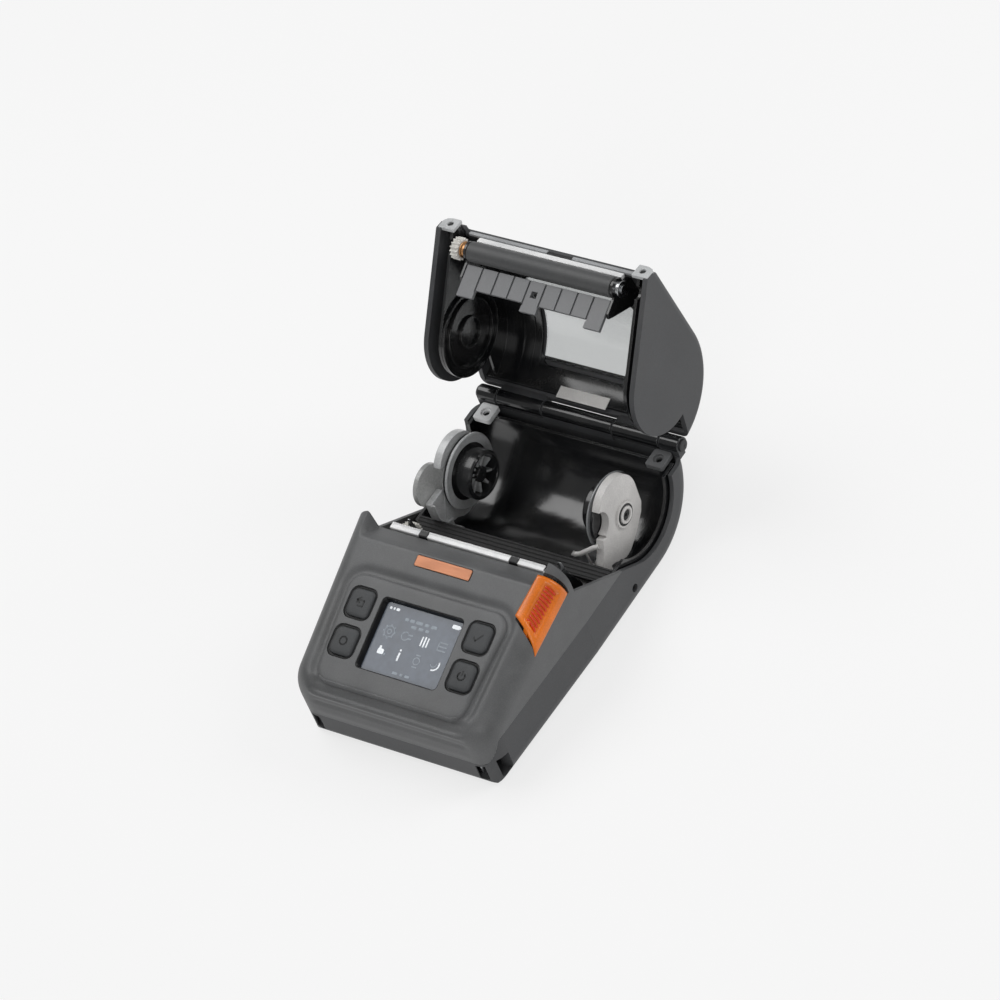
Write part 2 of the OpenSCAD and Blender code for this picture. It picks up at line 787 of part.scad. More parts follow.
// Side plates of the print mechanism, with a saddle for the platen's bushes
plate_foot = wall + seat;
module side_plate_2d() {
  difference() {
    polygon([[latch_y - 4, latch_z - 5], [latch_y - 4, latch_z + 3], [-12, bar_z - seat], [-5.6, bar_z - seat],
      [2.4, bar_z - seat - 2], [4, 38], [9.6, 24], [foot_y, 11], [foot_y, plate_foot], [-12, plate_foot]]);
    translate([platen_y, platen_z]) circle(bush_r + 0.35);
    polygon([[platen_y - bush_r - 0.35, platen_z], [platen_y - bush_r - 0.9, far], [far, far],
      [platen_y + bush_r + 0.8, platen_z + 1.2], [platen_y + bush_r + 0.35, platen_z]]);
    translate([latch_y, latch_z]) circle(latch_r + run_gap);
  }
}
module left_side_plate() {
  color("#9b9ea0") {
    xprism(-plate_x1, -plate_x0) difference() {
      side_plate_2d();
      translate([motor_y, motor_z]) circle(2);
    }
    xcyl(idler_y, idler_z, post_r, gear_x - gear_w/2 - 0.4, -plate_x0 - eps);
  }
}
module right_side_plate() { color("#9b9ea0") xprism(plate_x0, plate_x1) side_plate_2d(); }

bar_z = platen_z + 3.2;
module tear_bar() {
  color("#e4e6e8") translate([-plate_x1, nose_y + 0.4, bar_z]) {
    cube([2*plate_x1, 1.2, 5.6]);
    translate([0, 0, 4.6]) cube([2*plate_x1, 3, 1]);
  }
}

module sensor_bar() {
  x = plate_x0 - seat;
  color("#1d1e1f") translate([-x, head_cy + head_down*sin(head_tilt) + 1.2, head_cz - head_down*cos(head_tilt) - 2])
    rotate([-52, 0, 0]) translate([0, 0, -bar_t]) cube([2*x, 11, bar_t]);
}

// Media bay

module media_liner() {
  color("#161718") difference() {
    union() {
      difference() {
        xcyl(roll_y, roll_z, trough_r + liner_t, -bay_in - liner_t, bay_in + liner_t);
        xcyl(roll_y, roll_z, trough_r, -bay_in, bay_in);
        translate([-far, -far, 26]) cube([2*far, far + roll_y, far]);
        translate([-far, -far, rim_z]) cube([2*far, 2*far, far]);
      }
      translate([-bay_in, 11, 24.5]) cube([2*bay_in, 8.5, liner_t]);
    }
    xcyl(roll_y, roll_z, cheek_r - 1.2, -far, -bay_in + eps);
    xcyl(roll_y, roll_z, cheek_r - 1.2, bay_in - eps, far);
    translate([-arm_x - arm_t - 1, rail_y - 3.4, 0]) cube([2*(arm_x + arm_t + 1), 6.8, 30]);
  }
}

module arm_rail() {
  color("#b4b6b8") {
    xcyl(rail_y, rail_z, rail_r, -boss_x - 3, boss_x + 3);
  }
}

// Arm plate seen from the side
module arm_plate() {
  difference() {
    union() {
      translate([roll_y - 1.5, hub_z + 7]) circle(15);
      polygon([[roll_y - 12, hub_z], [roll_y + 13.4, hub_z + 5], [roll_y + 12.9, hub_z - 5.2],
        [roll_y + 10.5, hub_z - 9.5], [roll_y + 2.5, hub_z - 16.5], [roll_y - 4.5, hub_z - 20.2],
        [roll_y - 8.5, hub_z - 20.5], [roll_y - 12, hub_z - 19], [roll_y - 16, hub_z - 16],
        [rail_y + 2.9, rail_z + 8], [rail_y + 2.9, rail_z], [rail_y - 2.9, rail_z], [rail_y - 2.9, rail_z + 11],
        [rail_y + 1, rail_z + 17.5], [rail_y + 4, rail_z + 24]]);
      translate([rail_y, rail_z]) circle(foot_r);
    }
    translate([roll_y - 16.5, hub_z + 9]) circle(7);
    translate([rail_y, rail_z]) circle(rail_r + run_gap);
  }
}
foot_r = 3.2;

module guide_arm(s) {
  mirror([s < 0 ? 1 : 0, 0, 0]) difference() {
    union() {
      xprism(arm_x, arm_x + arm_t) arm_plate();
      xcyl(roll_y, hub_z, 6.5, arm_x, arm_x + arm_t + 1);
      xcyl(rail_y, rail_z, foot_r, arm_x - 5, arm_x + arm_t);
    }
    xcyl(roll_y, hub_z, 2 + run_gap, 0, far);
    xcyl(rail_y, rail_z, rail_r + run_gap, 0, far);
  }
}

module left_guide_arm() { color("#8b8d8f") guide_arm(-1); }
module right_guide_arm() { color("#d7d5d4") guide_arm(1); }

module left_guide_tab() {
  color("#9fa1a2") xprism(-arm_x - arm_t - seat - 2.4, -arm_x - arm_t - seat) hull() {
    translate([roll_y - 19.5, hub_z + 9]) circle(10.5);
    translate([roll_y - 10, hub_z + 1]) circle(3);
  }
}

// Disc with a ribbed hub and its axle
module roll_disc(s) {
  color("#2a2b2c") mirror([s < 0 ? 1 : 0, 0, 0]) {
    difference() {
      union() {
        xcyl(roll_y, hub_z, disc_d/2, disc_x, disc_x + disc_t);
        xcyl(roll_y, hub_z, hub_d/2, disc_x - hub_len, disc_x + 1);
      }
      xcyl(roll_y, hub_z, hub_d/2 - 1.6, disc_x - hub_len - 1, disc_x + disc_t - 1.2);
      difference() {
        xcyl(roll_y, hub_z, disc_d/2 - 2.2, disc_x - 1, disc_x + 1.2);
        xcyl(roll_y, hub_z, hub_d/2, disc_x - 2, disc_x + 2);
      }
    }
    for (k = [0:5]) translate([disc_x - hub_len + 1, roll_y, hub_z]) rotate([k*60, 0, 0])
      translate([0, 3, -0.6]) cube([hub_len + disc_t - 2, hub_d/2 - 4, 1.2]);
    xcyl(roll_y, hub_z, 3.6, disc_x - hub_len + 1, disc_x + disc_t - 0.5);
    xcyl(roll_y, hub_z, 2, disc_x + disc_t - 1, arm_x + arm_t + 0.6);
  }
}
module left_roll_disc() { roll_disc(-1); }
module right_roll_disc() { roll_disc(1); }

// Racks under the trough, driven against each other by one pinion
rack_m = 1;
pinion_teeth = 10;
pinion_r = rack_m*pinion_teeth/2;
pinion_y = rail_y - pinion_r - 3.6;
rack_z = wall + 0.8;
rack_h = 3;
rack_bar = 3;
rack_pitch = 180*rack_m*PI/180;

// Rack of the arm on side s: it lies on side s of the pinion and its teeth point at it
module rack(s) {
  y0 = pinion_r + mesh_gap;
  x0 = -5;
  x1 = arm_x + arm_t;
  mirror([s < 0 ? 1 : 0, 0, 0]) translate([0, pinion_y, rack_z]) scale([1, s, 1]) linear_extrude(rack_h) {
    translate([x0, y0 + rack_m]) square([x1 - x0, rack_bar]);
    for (k = [-1:floor((arm_travel + 4)/rack_pitch)]) translate([(k + 0.5)*rack_pitch, y0])
      polygon([[-0.95*rack_m, rack_m + eps], [-0.4*rack_m, -0.8*rack_m], [0.4*rack_m, -0.8*rack_m],
        [0.95*rack_m, rack_m + eps]]);
  }
}

module right_rack() {
  color("#c7c5c0") {
    rack(1);
    translate([arm_x, pinion_y + pinion_r + mesh_gap + rack_m, rack_z])
      cube([arm_t, rack_bar, rail_z - foot_r - seat/2 - rack_z]);
  }
}
left_rack_y = pinion_y - pinion_r - mesh_gap - rack_m - rack_bar;
foot_y = left_rack_y - slide_gap;
module left_rack() {
  y0 = left_rack_y;
  bridge_z = rack_z + rack_h + 0.5;
  color("#c7c5c0") {
    rack(-1);
    translate([-arm_x - arm_t, y0, rack_z]) cube([arm_t, rack_bar, bridge_z - rack_z + 1.5]);
    translate([-arm_x - arm_t, y0, bridge_z])
      cube([arm_t, rail_y - sqrt(pow(foot_r, 2) - pow(rail_z - bridge_z - 1.5, 2)) - seat - y0, 1.5]);
  }
}
module guide_pinion() {
  color("#c7c5c0") translate([0, pinion_y, rack_z - 0.1]) linear_extrude(rack_h + 0.2) difference() {
    union() {
      circle(pinion_r - 0.95*rack_m);
      for (k = [0:pinion_teeth - 1]) rotate(90 + k*360/pinion_teeth) polygon([
        [pinion_r - 1.2*rack_m, -0.9*rack_m], [pinion_r, -0.6*rack_m], [pinion_r + 0.8*rack_m, -0.28*rack_m],
        [pinion_r + 0.8*rack_m, 0.28*rack_m], [pinion_r, 0.6*rack_m], [pinion_r - 1.2*rack_m, 0.9*rack_m]]);
    }
    circle(post_r + run_gap);
  }
}

module left_rear_bracket() { color("#7b7d7f") rear_bracket(-1); }
module right_rear_bracket() { color("#4b4d4f") rear_bracket(1); }

module rear_bracket(s) {
  translate([s*(hw - 10), hinge_y - barrel_r - 5.4, rim_z + seat]) difference() {
    rblock(9.5, 10, 2.4, 1.2);
    translate([0, 0, -1]) cylinder(r = 1.6, h = 5);
    translate([0, 0, 1.4]) cylinder(r = 2.6, h = 5);
  }
}

module hinge_pin() {
  color("#b8babc") xcyl(hinge_y, hinge_z, pin_r, 1.8 - hw, hw - 1.8);
}

// Drive

module gear(r, teeth, x, w, y, z, phase, bore) {
  translate([x - w/2, y, z]) rotate([90, 0, 90]) linear_extrude(w) difference() {
    union() {
      circle(r - gear_m*0.9);
      for (k = [0:teeth - 1]) rotate(phase + k*360/teeth) polygon([
        [r - 1.2*gear_m, -0.95*gear_m], [r, -0.62*gear_m], [r + 0.85*gear_m, -0.3*gear_m],
        [r + 0.85*gear_m, 0.3*gear_m], [r, 0.62*gear_m], [r - 1.2*gear_m, 0.95*gear_m]]);
    }
    circle(bore);
  }
}

module feed_motor() {
  color("#8b8e90") difference() {
    xcyl(motor_y, motor_z, motor_r, -plate_x0 + seat, -plate_x0 + seat + motor_len);
    xcyl(motor_y, motor_z, 1 + run_gap, -far, -plate_x0 + motor_len/2);
  }
}

module motor_pinion() {
  color("#d9d4c4") {
    gear(pr_motor, motor_teeth, gear_x, gear_w, motor_y, motor_z, motor_phase, 0.8);
    xcyl(motor_y, motor_z, 1, gear_x - gear_w/2, -plate_x0 + motor_len/2 - 1);
  }
}
module idler_gear() {
  color("#e6e4de") gear(pr_idler, idler_teeth, gear_x, gear_w, idler_y, idler_z, idler_phase, post_r + run_gap);
}
// Each gear's phase puts a tooth of one in a gap of the next on their line of centres
idler_dir = atan2(platen_z - idler_z, platen_y - idler_y);
motor_dir = atan2(motor_z - idler_z, motor_y - idler_y);
idler_phase = motor_dir;
motor_phase = motor_dir + 180 + 180/motor_teeth;
platen_phase = idler_dir + 180 + 180/platen_teeth
  + (idler_dir - idler_phase - round((idler_dir - idler_phase)*idler_teeth/360)*360/idler_teeth)
  *idler_teeth/platen_teeth;

module main_board() { color("#1f4a38") translate([-board_x - 4, -front_y + 12, board_z + 0.1]) cube([2*board_x + 8, 52, 1.6]); }

module battery_pack() {
  color("#2f3133") translate([0, battery_mid, 0.6]) rblock(battery_w, battery_len, battery_h, 3.6);
}
module casing_screws() {
  color("#a8aaac") for (p = screw_spots) translate([p[0], p[1], 0.15]) {
    cylinder(d = screw_d, h = 1);
    cylinder(d = 2.6, h = 4.4);
  }
}

// Lid, modelled closed and turned open about the hinge

module opened() {
  translate([0, hinge_y, hinge_z]) rotate([-lid_open, 0, 0]) translate([0, -hinge_y, -hinge_z]) children();
}

lip_y = -3.2;
module lid_shell() {
  color("#47494b") opened() {
    difference() {
      intersection() {
        lid_skin(0, 4);
        xprism(-hw, hw) lid_side(0);
      }
      xprism(-lid_in, lid_in) dome_2d(lid_wall);
      translate([-corner_x, -far, -far]) cube([2*corner_x, far + lip_y, 3*far]);
      window_cut(0);
    }
    xprism(-corner_x, corner_x) intersection() {
      dome_2d(lid_wall - 0.5);
      translate([lip_y, bar_z + 5.6]) square([2, far]);
    }
    for (k = [[0.3 - knuckle_x, -20.2], [20.2, knuckle_x - 0.3]]) lid_knuckle(k[0], k[1]);
  }
}

module lid_knuckle(x0, x1) {
  difference() {
    union() {
      xcyl(hinge_y, hinge_z, barrel_r, x0, x1);
      translate([x0, hinge_y - barrel_r, hinge_z]) cube([x1 - x0, barrel_r + 0.6, barrel_r + 3]);
    }
    xcyl(hinge_y, hinge_z, pin_r + run_gap, x0 - 1, x1 + 1);
  }
}

window_y = hinge_y - 62;
window_len = 50;
module window_cut(g) {
  translate([-window_w/2 - g, window_y - g, roll_z + 12]) cube([window_w + 2*g, window_len + 2*g, far]);
}

module skin_2d(t0, t1) {
  difference() {
    dome_2d(t0);
    dome_2d(t1);
  }
}

frame_t = 1.2;
frame_skin = lid_wall + seat + 0.1;
module lid_frame() {
  color("#141516") opened() difference() {
    union() {
      xprism(-frame_out, frame_out) intersection() {
        skin_2d(frame_skin, frame_skin + frame_t);
        translate([11, lid_rear_z + 1.5]) square([far, far]);
      }
      for (s = [-1, 1]) mirror([s < 0 ? 1 : 0, 0, 0]) {
        xprism(frame_in, frame_in + 1.5) intersection() {
          lid_side(-3);
          dome_2d(frame_skin);
        }
        xprism(corner_x + 0.2, frame_out) intersection() {
          translate([nose_y + 1.6, 51]) square([-nose_y, far]);
          dome_2d(frame_skin);
        }
        xprism(bracket_x0, bracket_x1) intersection() {
          union() {
            translate([platen_y, platen_z]) circle(bush_r + 1.6);
            polygon([[platen_y - 2.6, platen_z + 3], [lip_y + 2.5, 51], [lip_y + 2.5, far], [14, far], [14, 52],
              [9, 38], [7.5, 34.5], [5, 35], [1.5, 41]]);
          }
          dome_2d(frame_skin);
        }
      }
    }
    window_cut(1);
    xcyl(platen_y, platen_z, bush_r + 0.05, -far, far);
    for (s = [-1, 1]) translate([s*(corner_x + 4), nose_y, 53.5]) rotate([-90, 0, 0]) cylinder(r = 1.3, h = 6);
  }
}

module lid_window() {
  color("#c9c9c7") opened() xprism(-window_w/2 + 0.25, window_w/2 - 0.25) intersection() {
    skin_2d(0.3, 1.9);
    translate([window_y + 0.25, roll_z + 12]) square([window_len - 0.5, far]);
  }
}

// Ribbed guide that turns the paper over to the platen, in its own sloping frame
guide_tilt = 29.3;
guide_panels = 9;
guide_len = 11;
guide_tab = 4.2;
module paper_guide() {
  w = 2*head_x/guide_panels;
  color("#75777a") opened() translate([0, platen_y + 2.8, platen_z - 2.9]) rotate([guide_tilt, 0, 0]) {
    difference() {
      union() {
        translate([-head_x, 0, -2.2 - guide_len]) cube([2*head_x, 1.8, guide_len]);
        for (k = [0, 4, 8]) translate([-head_x + k*w, 0, -2.2 - guide_len - guide_tab])
          cube([w, 1.8, guide_tab + 1]);
        translate([-bracket_x0 + 0.05, 1, -9]) cube([2*bracket_x0 - 0.1, 1.6, 6]);
      }
      for (k = [1:guide_panels - 1]) translate([-head_x + k*w - 0.4, -1, -2.2 - guide_len - 1])
        cube([0.8, 1.7, guide_len + 2]);
      translate([-1.6, -1, -10]) cube([3.2, 5, 3]);
    }
  }
}

module lid_strip() {
  color("#e4e6e8") opened() translate([-bracket_x0 + 0.1, lip_y - 0.3, platen_z + platen_d/2 + 0.5])
    cube([2*bracket_x0 - 0.2, 2.2, 3]);
}

module platen_roller() {
  color("#3d3e40") opened() difference() {
    xcyl(platen_y, platen_z, platen_d/2, -platen_len/2, platen_len/2);
    xcyl(platen_y, platen_z, shaft_d/2, -far, far);
  }
}
module platen_shaft() {
  color("#c4c6c8") opened() xcyl(platen_y, platen_z, shaft_d/2, gear_x - gear_w/2, hook_x1 + 0.6);
}
module platen_gear() {
  color("#efede6") opened()
    gear(pr_platen, platen_teeth, gear_x, gear_w, platen_y, platen_z, platen_phase, shaft_d/2 + eps);
}
module platen_bushes() {
  color("#c78f5f") opened() for (s = [-1, 1]) mirror([s < 0 ? 1 : 0, 0, 0]) difference() {
    xcyl(platen_y, platen_z, bush_r, bracket_x0 - 0.2, hook_x1);
    xcyl(platen_y, platen_z, shaft_d/2 + run_gap, 0, far);
  }
}
label_dir = 22;
module lid_label() {
  r = dome_r - lid_wall - seat - frame_t - 0.35;
  color("#ecebe8") opened() translate([-15, dome_y + r*cos(label_dir), dome_z + r*sin(label_dir)])
    rotate([label_dir, 0, 0]) translate([0, -0.25, -3]) cube([28, 0.25, 6]);
}

base_housing();
front_cover();
control_panel();
display_lens();
display_module();
keypad_gasket();
button_back();
button_ring();
button_accept();
button_power();
name_plate();
release_lever();
latch_bar();
latch_spring();
tear_bar();
print_head();
head_bracket();
head_springs();
sensor_bar();
media_liner();
arm_rail();
left_guide_arm();
left_guide_tab();
left_roll_disc();
right_guide_arm();
right_roll_disc();
left_rack();
right_rack();
guide_pinion();
left_rear_bracket();
right_rear_bracket();
hinge_pin();
feed_motor();
motor_pinion();
idler_gear();
left_side_plate();
right_side_plate();
main_board();
battery_pack();
battery_latch();
strap_pins();
port_cover();
charge_port();
casing_screws();
lid_shell();
lid_frame();
lid_window();
paper_guide();
lid_strip();
platen_roller();
platen_shaft();
platen_gear();
platen_bushes();
lid_label();
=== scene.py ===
"""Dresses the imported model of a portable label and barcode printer, lid open, for its studio picture."""

import json
import logging
import math
from collections.abc import Callable, Iterable, Sequence
from dataclasses import dataclass, field
from enum import Enum

import bmesh
import bpy
from mathutils import Matrix, Vector


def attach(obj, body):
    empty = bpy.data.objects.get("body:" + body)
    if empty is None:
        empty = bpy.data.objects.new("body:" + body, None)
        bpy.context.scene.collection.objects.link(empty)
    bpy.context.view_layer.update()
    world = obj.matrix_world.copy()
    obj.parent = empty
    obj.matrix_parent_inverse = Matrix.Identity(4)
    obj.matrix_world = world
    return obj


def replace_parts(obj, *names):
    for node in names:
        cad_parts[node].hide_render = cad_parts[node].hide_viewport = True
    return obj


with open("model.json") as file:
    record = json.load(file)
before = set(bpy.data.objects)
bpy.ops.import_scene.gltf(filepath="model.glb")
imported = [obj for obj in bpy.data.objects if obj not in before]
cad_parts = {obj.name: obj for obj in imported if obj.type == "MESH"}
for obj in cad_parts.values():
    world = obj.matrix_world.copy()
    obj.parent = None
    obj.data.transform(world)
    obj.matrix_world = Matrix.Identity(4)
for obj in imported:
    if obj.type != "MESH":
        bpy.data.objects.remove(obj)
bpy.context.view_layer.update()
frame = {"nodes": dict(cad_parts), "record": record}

LOG = logging.getLogger("printer")
MM = 0.001
RGB = tuple[float, float, float]
Point2 = tuple[float, float]
Point3 = tuple[float, float, float]
Socket = bpy.types.NodeSocket
Node = bpy.types.Node
Vert = bmesh.types.BMVert
DUST = "a8a49c"


class Body(Enum):
    """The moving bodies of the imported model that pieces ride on."""

    CHASSIS = "chassis"
    LID = "lid"
    LEVER = "lever"
    LEFT_ARM = "left_arm"
    RIGHT_ARM = "right_arm"
    LEFT_DISC = "left_disc"
    RIGHT_DISC = "right_disc"
    BACK_KEY = "back_key"
    RING_KEY = "ring_key"
    ACCEPT_KEY = "accept_key"
    POWER_KEY = "power_key"


class Axis(Enum):
    """The axis that a solid is extruded or turned along."""

    X = "x"
    Y = "y"
    Z = "z"


def tone(code: str) -> RGB:
    """Turns a screen colour of six hexadecimal digits into the linear colour that shaders use."""
    parts = [int(code[i : i + 2], 16) / 255 for i in (0, 2, 4)]
    return tuple(c / 12.92 if c <= 0.04045 else ((c + 0.055) / 1.055) ** 2.4 for c in parts)


def lit(colour: RGB, factor: float) -> RGB:
    """Makes a linear colour lighter or darker by a factor."""
    return tuple(min(1.0, c * factor) for c in colour)


# Shaders


class Graph:
    """A short way to add and join the nodes of one node tree."""

    def __init__(self, tree: bpy.types.NodeTree) -> None:
        """Keeps the tree that is built."""
        self.tree = tree

    def add(self, kind: str, inputs: dict | None = None, **settings: object) -> Node:
        """Adds a node.

        Args:
            kind: The node's type name.
            inputs: Values or sockets by input name or index.
            **settings: The node's own settings.

        Returns:
            The new node.
        """
        node = self.tree.nodes.new(kind)
        for key, value in settings.items():
            setattr(node, key, value)
        for key, value in (inputs or {}).items():
            self.put(node.inputs[key], value)
        return node

    def put(self, socket: Socket, value: object) -> None:
        """Links an input socket to another socket, or gives it a plain number or colour."""
        if isinstance(value, Socket):
            self.tree.links.new(value, socket)
        elif isinstance(value, tuple) and len(value) == 3 and socket.type == "RGBA":
            socket.default_value = (*value, 1.0)
        else:
            socket.default_value = value

    def math(self, operation: str, a: object, b: object = 0.0, clamp: bool = False) -> Socket:
        """Adds a Math node and returns its output socket."""
        return self.add("ShaderNodeMath", {0: a, 1: b}, operation=operation, use_clamp=clamp).outputs[0]

    def times(self, a: object, b: object) -> Socket:
        """Multiplies two values and returns the output socket."""
        return self.math("MULTIPLY", a, b)

    def remap(self, value: object, lo: float, hi: float, to_lo: float = 0.0, to_hi: float = 1.0) -> Socket:
        """Maps a value from one range to another, held inside it, and returns the output socket."""
        sizes = {0: value, 1: lo, 2: hi, 3: to_lo, 4: to_hi}
        return self.add("ShaderNodeMapRange", sizes).outputs[0]

    def noise(self, where: Socket, scale: object, detail: float, roughness: float = 0.5) -> Socket:
        """Adds a noise texture at some coordinates and returns its value."""
        sizes = {"Vector": where, "Scale": scale, "Detail": detail, "Roughness": roughness}
        return self.add("ShaderNodeTexNoise", sizes).outputs[0]

    def blend(self, factor: object, a: object, b: object, how: str = "MIX") -> Socket:
        """Mixes two colours and returns the output socket."""
        node = self.add("ShaderNodeMix", {0: factor, 6: a, 7: b}, data_type="RGBA", blend_type=how)
        return node.outputs[2]

    def shaded(self, colour: object, share: Socket) -> Socket:
        """Multiplies a colour by one number and returns the output socket."""
        grey = self.add("ShaderNodeCombineColor", {0: share, 1: share, 2: share}).outputs[0]
        return self.blend(1.0, colour, grey, "MULTIPLY")

    def place(self) -> Socket:
        """Returns Object coordinates."""
        return self.add("ShaderNodeTexCoord").outputs["Object"]


def cleared(holder: bpy.types.Material | bpy.types.World) -> Graph:
    """Switches a material or world to nodes, removes those it has and returns its graph."""
    holder.use_nodes = True
    holder.node_tree.nodes.clear()
    return Graph(holder.node_tree)


def effect(name: str, inputs: dict[str, float], outputs: dict[str, str],
           build: Callable) -> bpy.types.NodeTree:
    """Makes a shader node group once, with named sockets.

    Args:
        name: The group's name.
        inputs: Its number inputs, with their usual values.
        outputs: Its outputs and the kind of each socket, Float or Vector.
        build: Fills the group, given its graph, its input sockets and its output node's sockets.

    Returns:
        The node group.
    """
    if name in bpy.data.node_groups:
        return bpy.data.node_groups[name]
    tree = bpy.data.node_groups.new(name, "ShaderNodeTree")
    for key, value in inputs.items():
        tree.interface.new_socket(key, in_out="INPUT", socket_type="NodeSocketFloat").default_value = value
    for key, kind in outputs.items():
        tree.interface.new_socket(key, in_out="OUTPUT", socket_type=f"NodeSocket{kind}")
    graph = Graph(tree)
    build(graph, graph.add("NodeGroupInput").outputs, graph.add("NodeGroupOutput").inputs)
    return tree


def moulding_grain() -> bpy.types.NodeTree:
    """The spark-eroded grain of a moulded casing, with a slow mottle under it."""

    def build(g: Graph, given: bpy.types.NodeOutputs, out: bpy.types.NodeInputs) -> None:
        """Joins two noises and a cell pattern."""
        where = g.place()
        fine = g.noise(where, given["Scale"], 2.0)
        cells = g.add("ShaderNodeTexVoronoi", {"Vector": where, "Scale": given["Scale"]}, feature="SMOOTH_F1")
        slow = g.noise(where, 42.0, 3.0)
        g.put(out["Height"], g.math("ADD", g.times(fine, 0.6), g.times(cells.outputs[0], 0.5)))
        g.put(out["Mottle"], slow)

    return effect("moulding_grain", {"Scale": 2200.0}, {"Height": "Float", "Mottle": "Float"}, build)


def rubbed_edges() -> bpy.types.NodeTree:
    """The small rounding of every edge, and a broken mask of where it is rubbed."""

    def build(g: Graph, given: bpy.types.NodeOutputs, out: bpy.types.NodeInputs) -> None:
        """Compares the rounded normal with the flat one."""
        soft = g.add("ShaderNodeBevel", {"Radius": given["Radius"]}, samples=4)
        flat = g.add("ShaderNodeNewGeometry").outputs["Normal"]
        turned = g.add("ShaderNodeVectorMath", {0: soft.outputs[0], 1: flat}, operation="DOT_PRODUCT")
        edge = g.remap(turned.outputs["Value"], 0.995, 0.80)
        broken = g.noise(g.place(), 160.0, 4.0)
        g.put(out["Normal"], soft.outputs[0])
        g.put(out["Mask"], g.times(edge, g.remap(broken, 0.38, 0.62, 0.15, 1.0)))

    return effect("rubbed_edges", {"Radius": 0.0004}, {"Normal": "Vector", "Mask": "Float"}, build)


def settled_dust() -> bpy.types.NodeTree:
    """Fine dust and hand marks, thicker on faces that look up."""

    def build(g: Graph, given: bpy.types.NodeOutputs, out: bpy.types.NodeInputs) -> None:
        """Joins the upward part of the normal with blotches and specks."""
        normal = g.add("ShaderNodeNewGeometry").outputs["Normal"]
        up = g.remap(g.add("ShaderNodeSeparateXYZ", {0: normal}).outputs[2], -0.2, 1.0, 0.25, 1.0)
        where = g.place()
        blotch = g.noise(where, 28.0, 5.0, 0.62)
        speck = g.noise(where, 1500.0, 1.0)
        cover = g.times(up, g.remap(blotch, 0.42, 0.75))
        cover = g.times(cover, g.remap(speck, 0.35, 0.7, 0.4, 1.0))
        g.put(out["Mask"], g.math("MULTIPLY", cover, given["Amount"], clamp=True))

    return effect("settled_dust", {"Amount": 0.5}, {"Mask": "Float"}, build)


def turned_lines() -> bpy.types.NodeTree:
    """Fine drawn or ground lines, stretched along one axis of the object."""

    def build(g: Graph, given: bpy.types.NodeOutputs, out: bpy.types.NodeInputs) -> None:
        """Stretches a noise by the three inputs."""
        size = g.add("ShaderNodeCombineXYZ", {i: given[i] for i in range(3)})
        where = g.add("ShaderNodeVectorMath", {0: g.place(), 1: size.outputs[0]}, operation="MULTIPLY")
        g.put(out["Height"], g.noise(where.outputs[0], 1.0, 3.0, 0.7))

    sizes = {"Along X": 60.0, "Along Y": 3000.0, "Along Z": 3000.0}
    return effect("turned_lines", sizes, {"Height": "Float"}, build)


@dataclass(frozen=True)
class Finish:
    """What every finish shares.

    Attributes:
        name: The material's name.
        slot: The record's material slot that it belongs to.
        colour: The screen colour, six hexadecimal digits.
        roughness: The mean roughness.
        edge: The radius of the small edge rounding, in mm.
        rub: How much lighter rubbed edges are, 0 to 1.
        dust: How much dust lies on it, 0 to 1.
    """

    name: str
    slot: str
    colour: str
    roughness: float = 0.5
    edge: float = 0.4
    rub: float = 0.25
    dust: float = 0.35

    def shader(self) -> tuple[bpy.types.Material, Graph, Node]:
        """Makes an empty material with a Principled BSDF joined to its output."""
        material = bpy.data.materials.new(self.name)
        graph = cleared(material)
        surface = graph.add("ShaderNodeBsdfPrincipled")
        graph.put(graph.add("ShaderNodeOutputMaterial").inputs["Surface"], surface.outputs[0])
        return material, graph, surface

    def group(self, graph: Graph, tree: bpy.types.NodeTree, *values: float) -> bpy.types.NodeOutputs:
        """Places a shared effect in the material with its own values and returns its outputs."""
        return graph.add("ShaderNodeGroup", dict(enumerate(values)), node_tree=tree).outputs

    def wear(self, graph: Graph, colour: object) -> tuple[Socket, Socket, Socket]:
        """Adds rubbed edges and dust to a colour.

        Args:
            graph: The material's graph.
            colour: The colour under the wear, a value or a socket.

        Returns:
            The worn colour, the rounded normal and the edge mask.
        """
        edges = self.group(graph, rubbed_edges(), self.edge * MM)
        dust = self.group(graph, settled_dust(), self.dust)
        light = tuple(min(1.0, c * 1.9 + 0.05) for c in tone(self.colour))
        worn = graph.blend(graph.times(edges["Mask"], self.rub), colour, light)
        dusted = graph.blend(graph.times(dust["Mask"], 0.22), worn, tone(DUST))
        return dusted, edges["Normal"], edges["Mask"]

    def bump(self, graph: Graph, height: Socket, normal: Socket, depth_mm: float) -> Socket:
        """Adds a bump of a real depth on a rounded normal, and returns its normal."""
        sizes = {"Height": height, "Normal": normal, "Strength": 1.0, "Distance": depth_mm * MM}
        return graph.add("ShaderNodeBump", sizes).outputs[0]

    def feed(self, graph: Graph, surface: Node, *sockets: object, **values: float) -> None:
        """Gives the surface its colour, roughness and normal, then its plain values.

        Args:
            graph: The material's graph.
            surface: The Principled BSDF.
            *sockets: The base colour, the roughness and, where there is one, the normal.
            **values: Plain values by input name, with underscores for spaces.
        """
        for key, value in zip(("Base Color", "Roughness", "Normal"), sockets):
            graph.put(surface.inputs[key], value)
        for key, value in values.items():
            surface.inputs[key.replace("_", " ")].default_value = value

    def material(self) -> bpy.types.Material:
        """Builds the material."""
        raise NotImplementedError


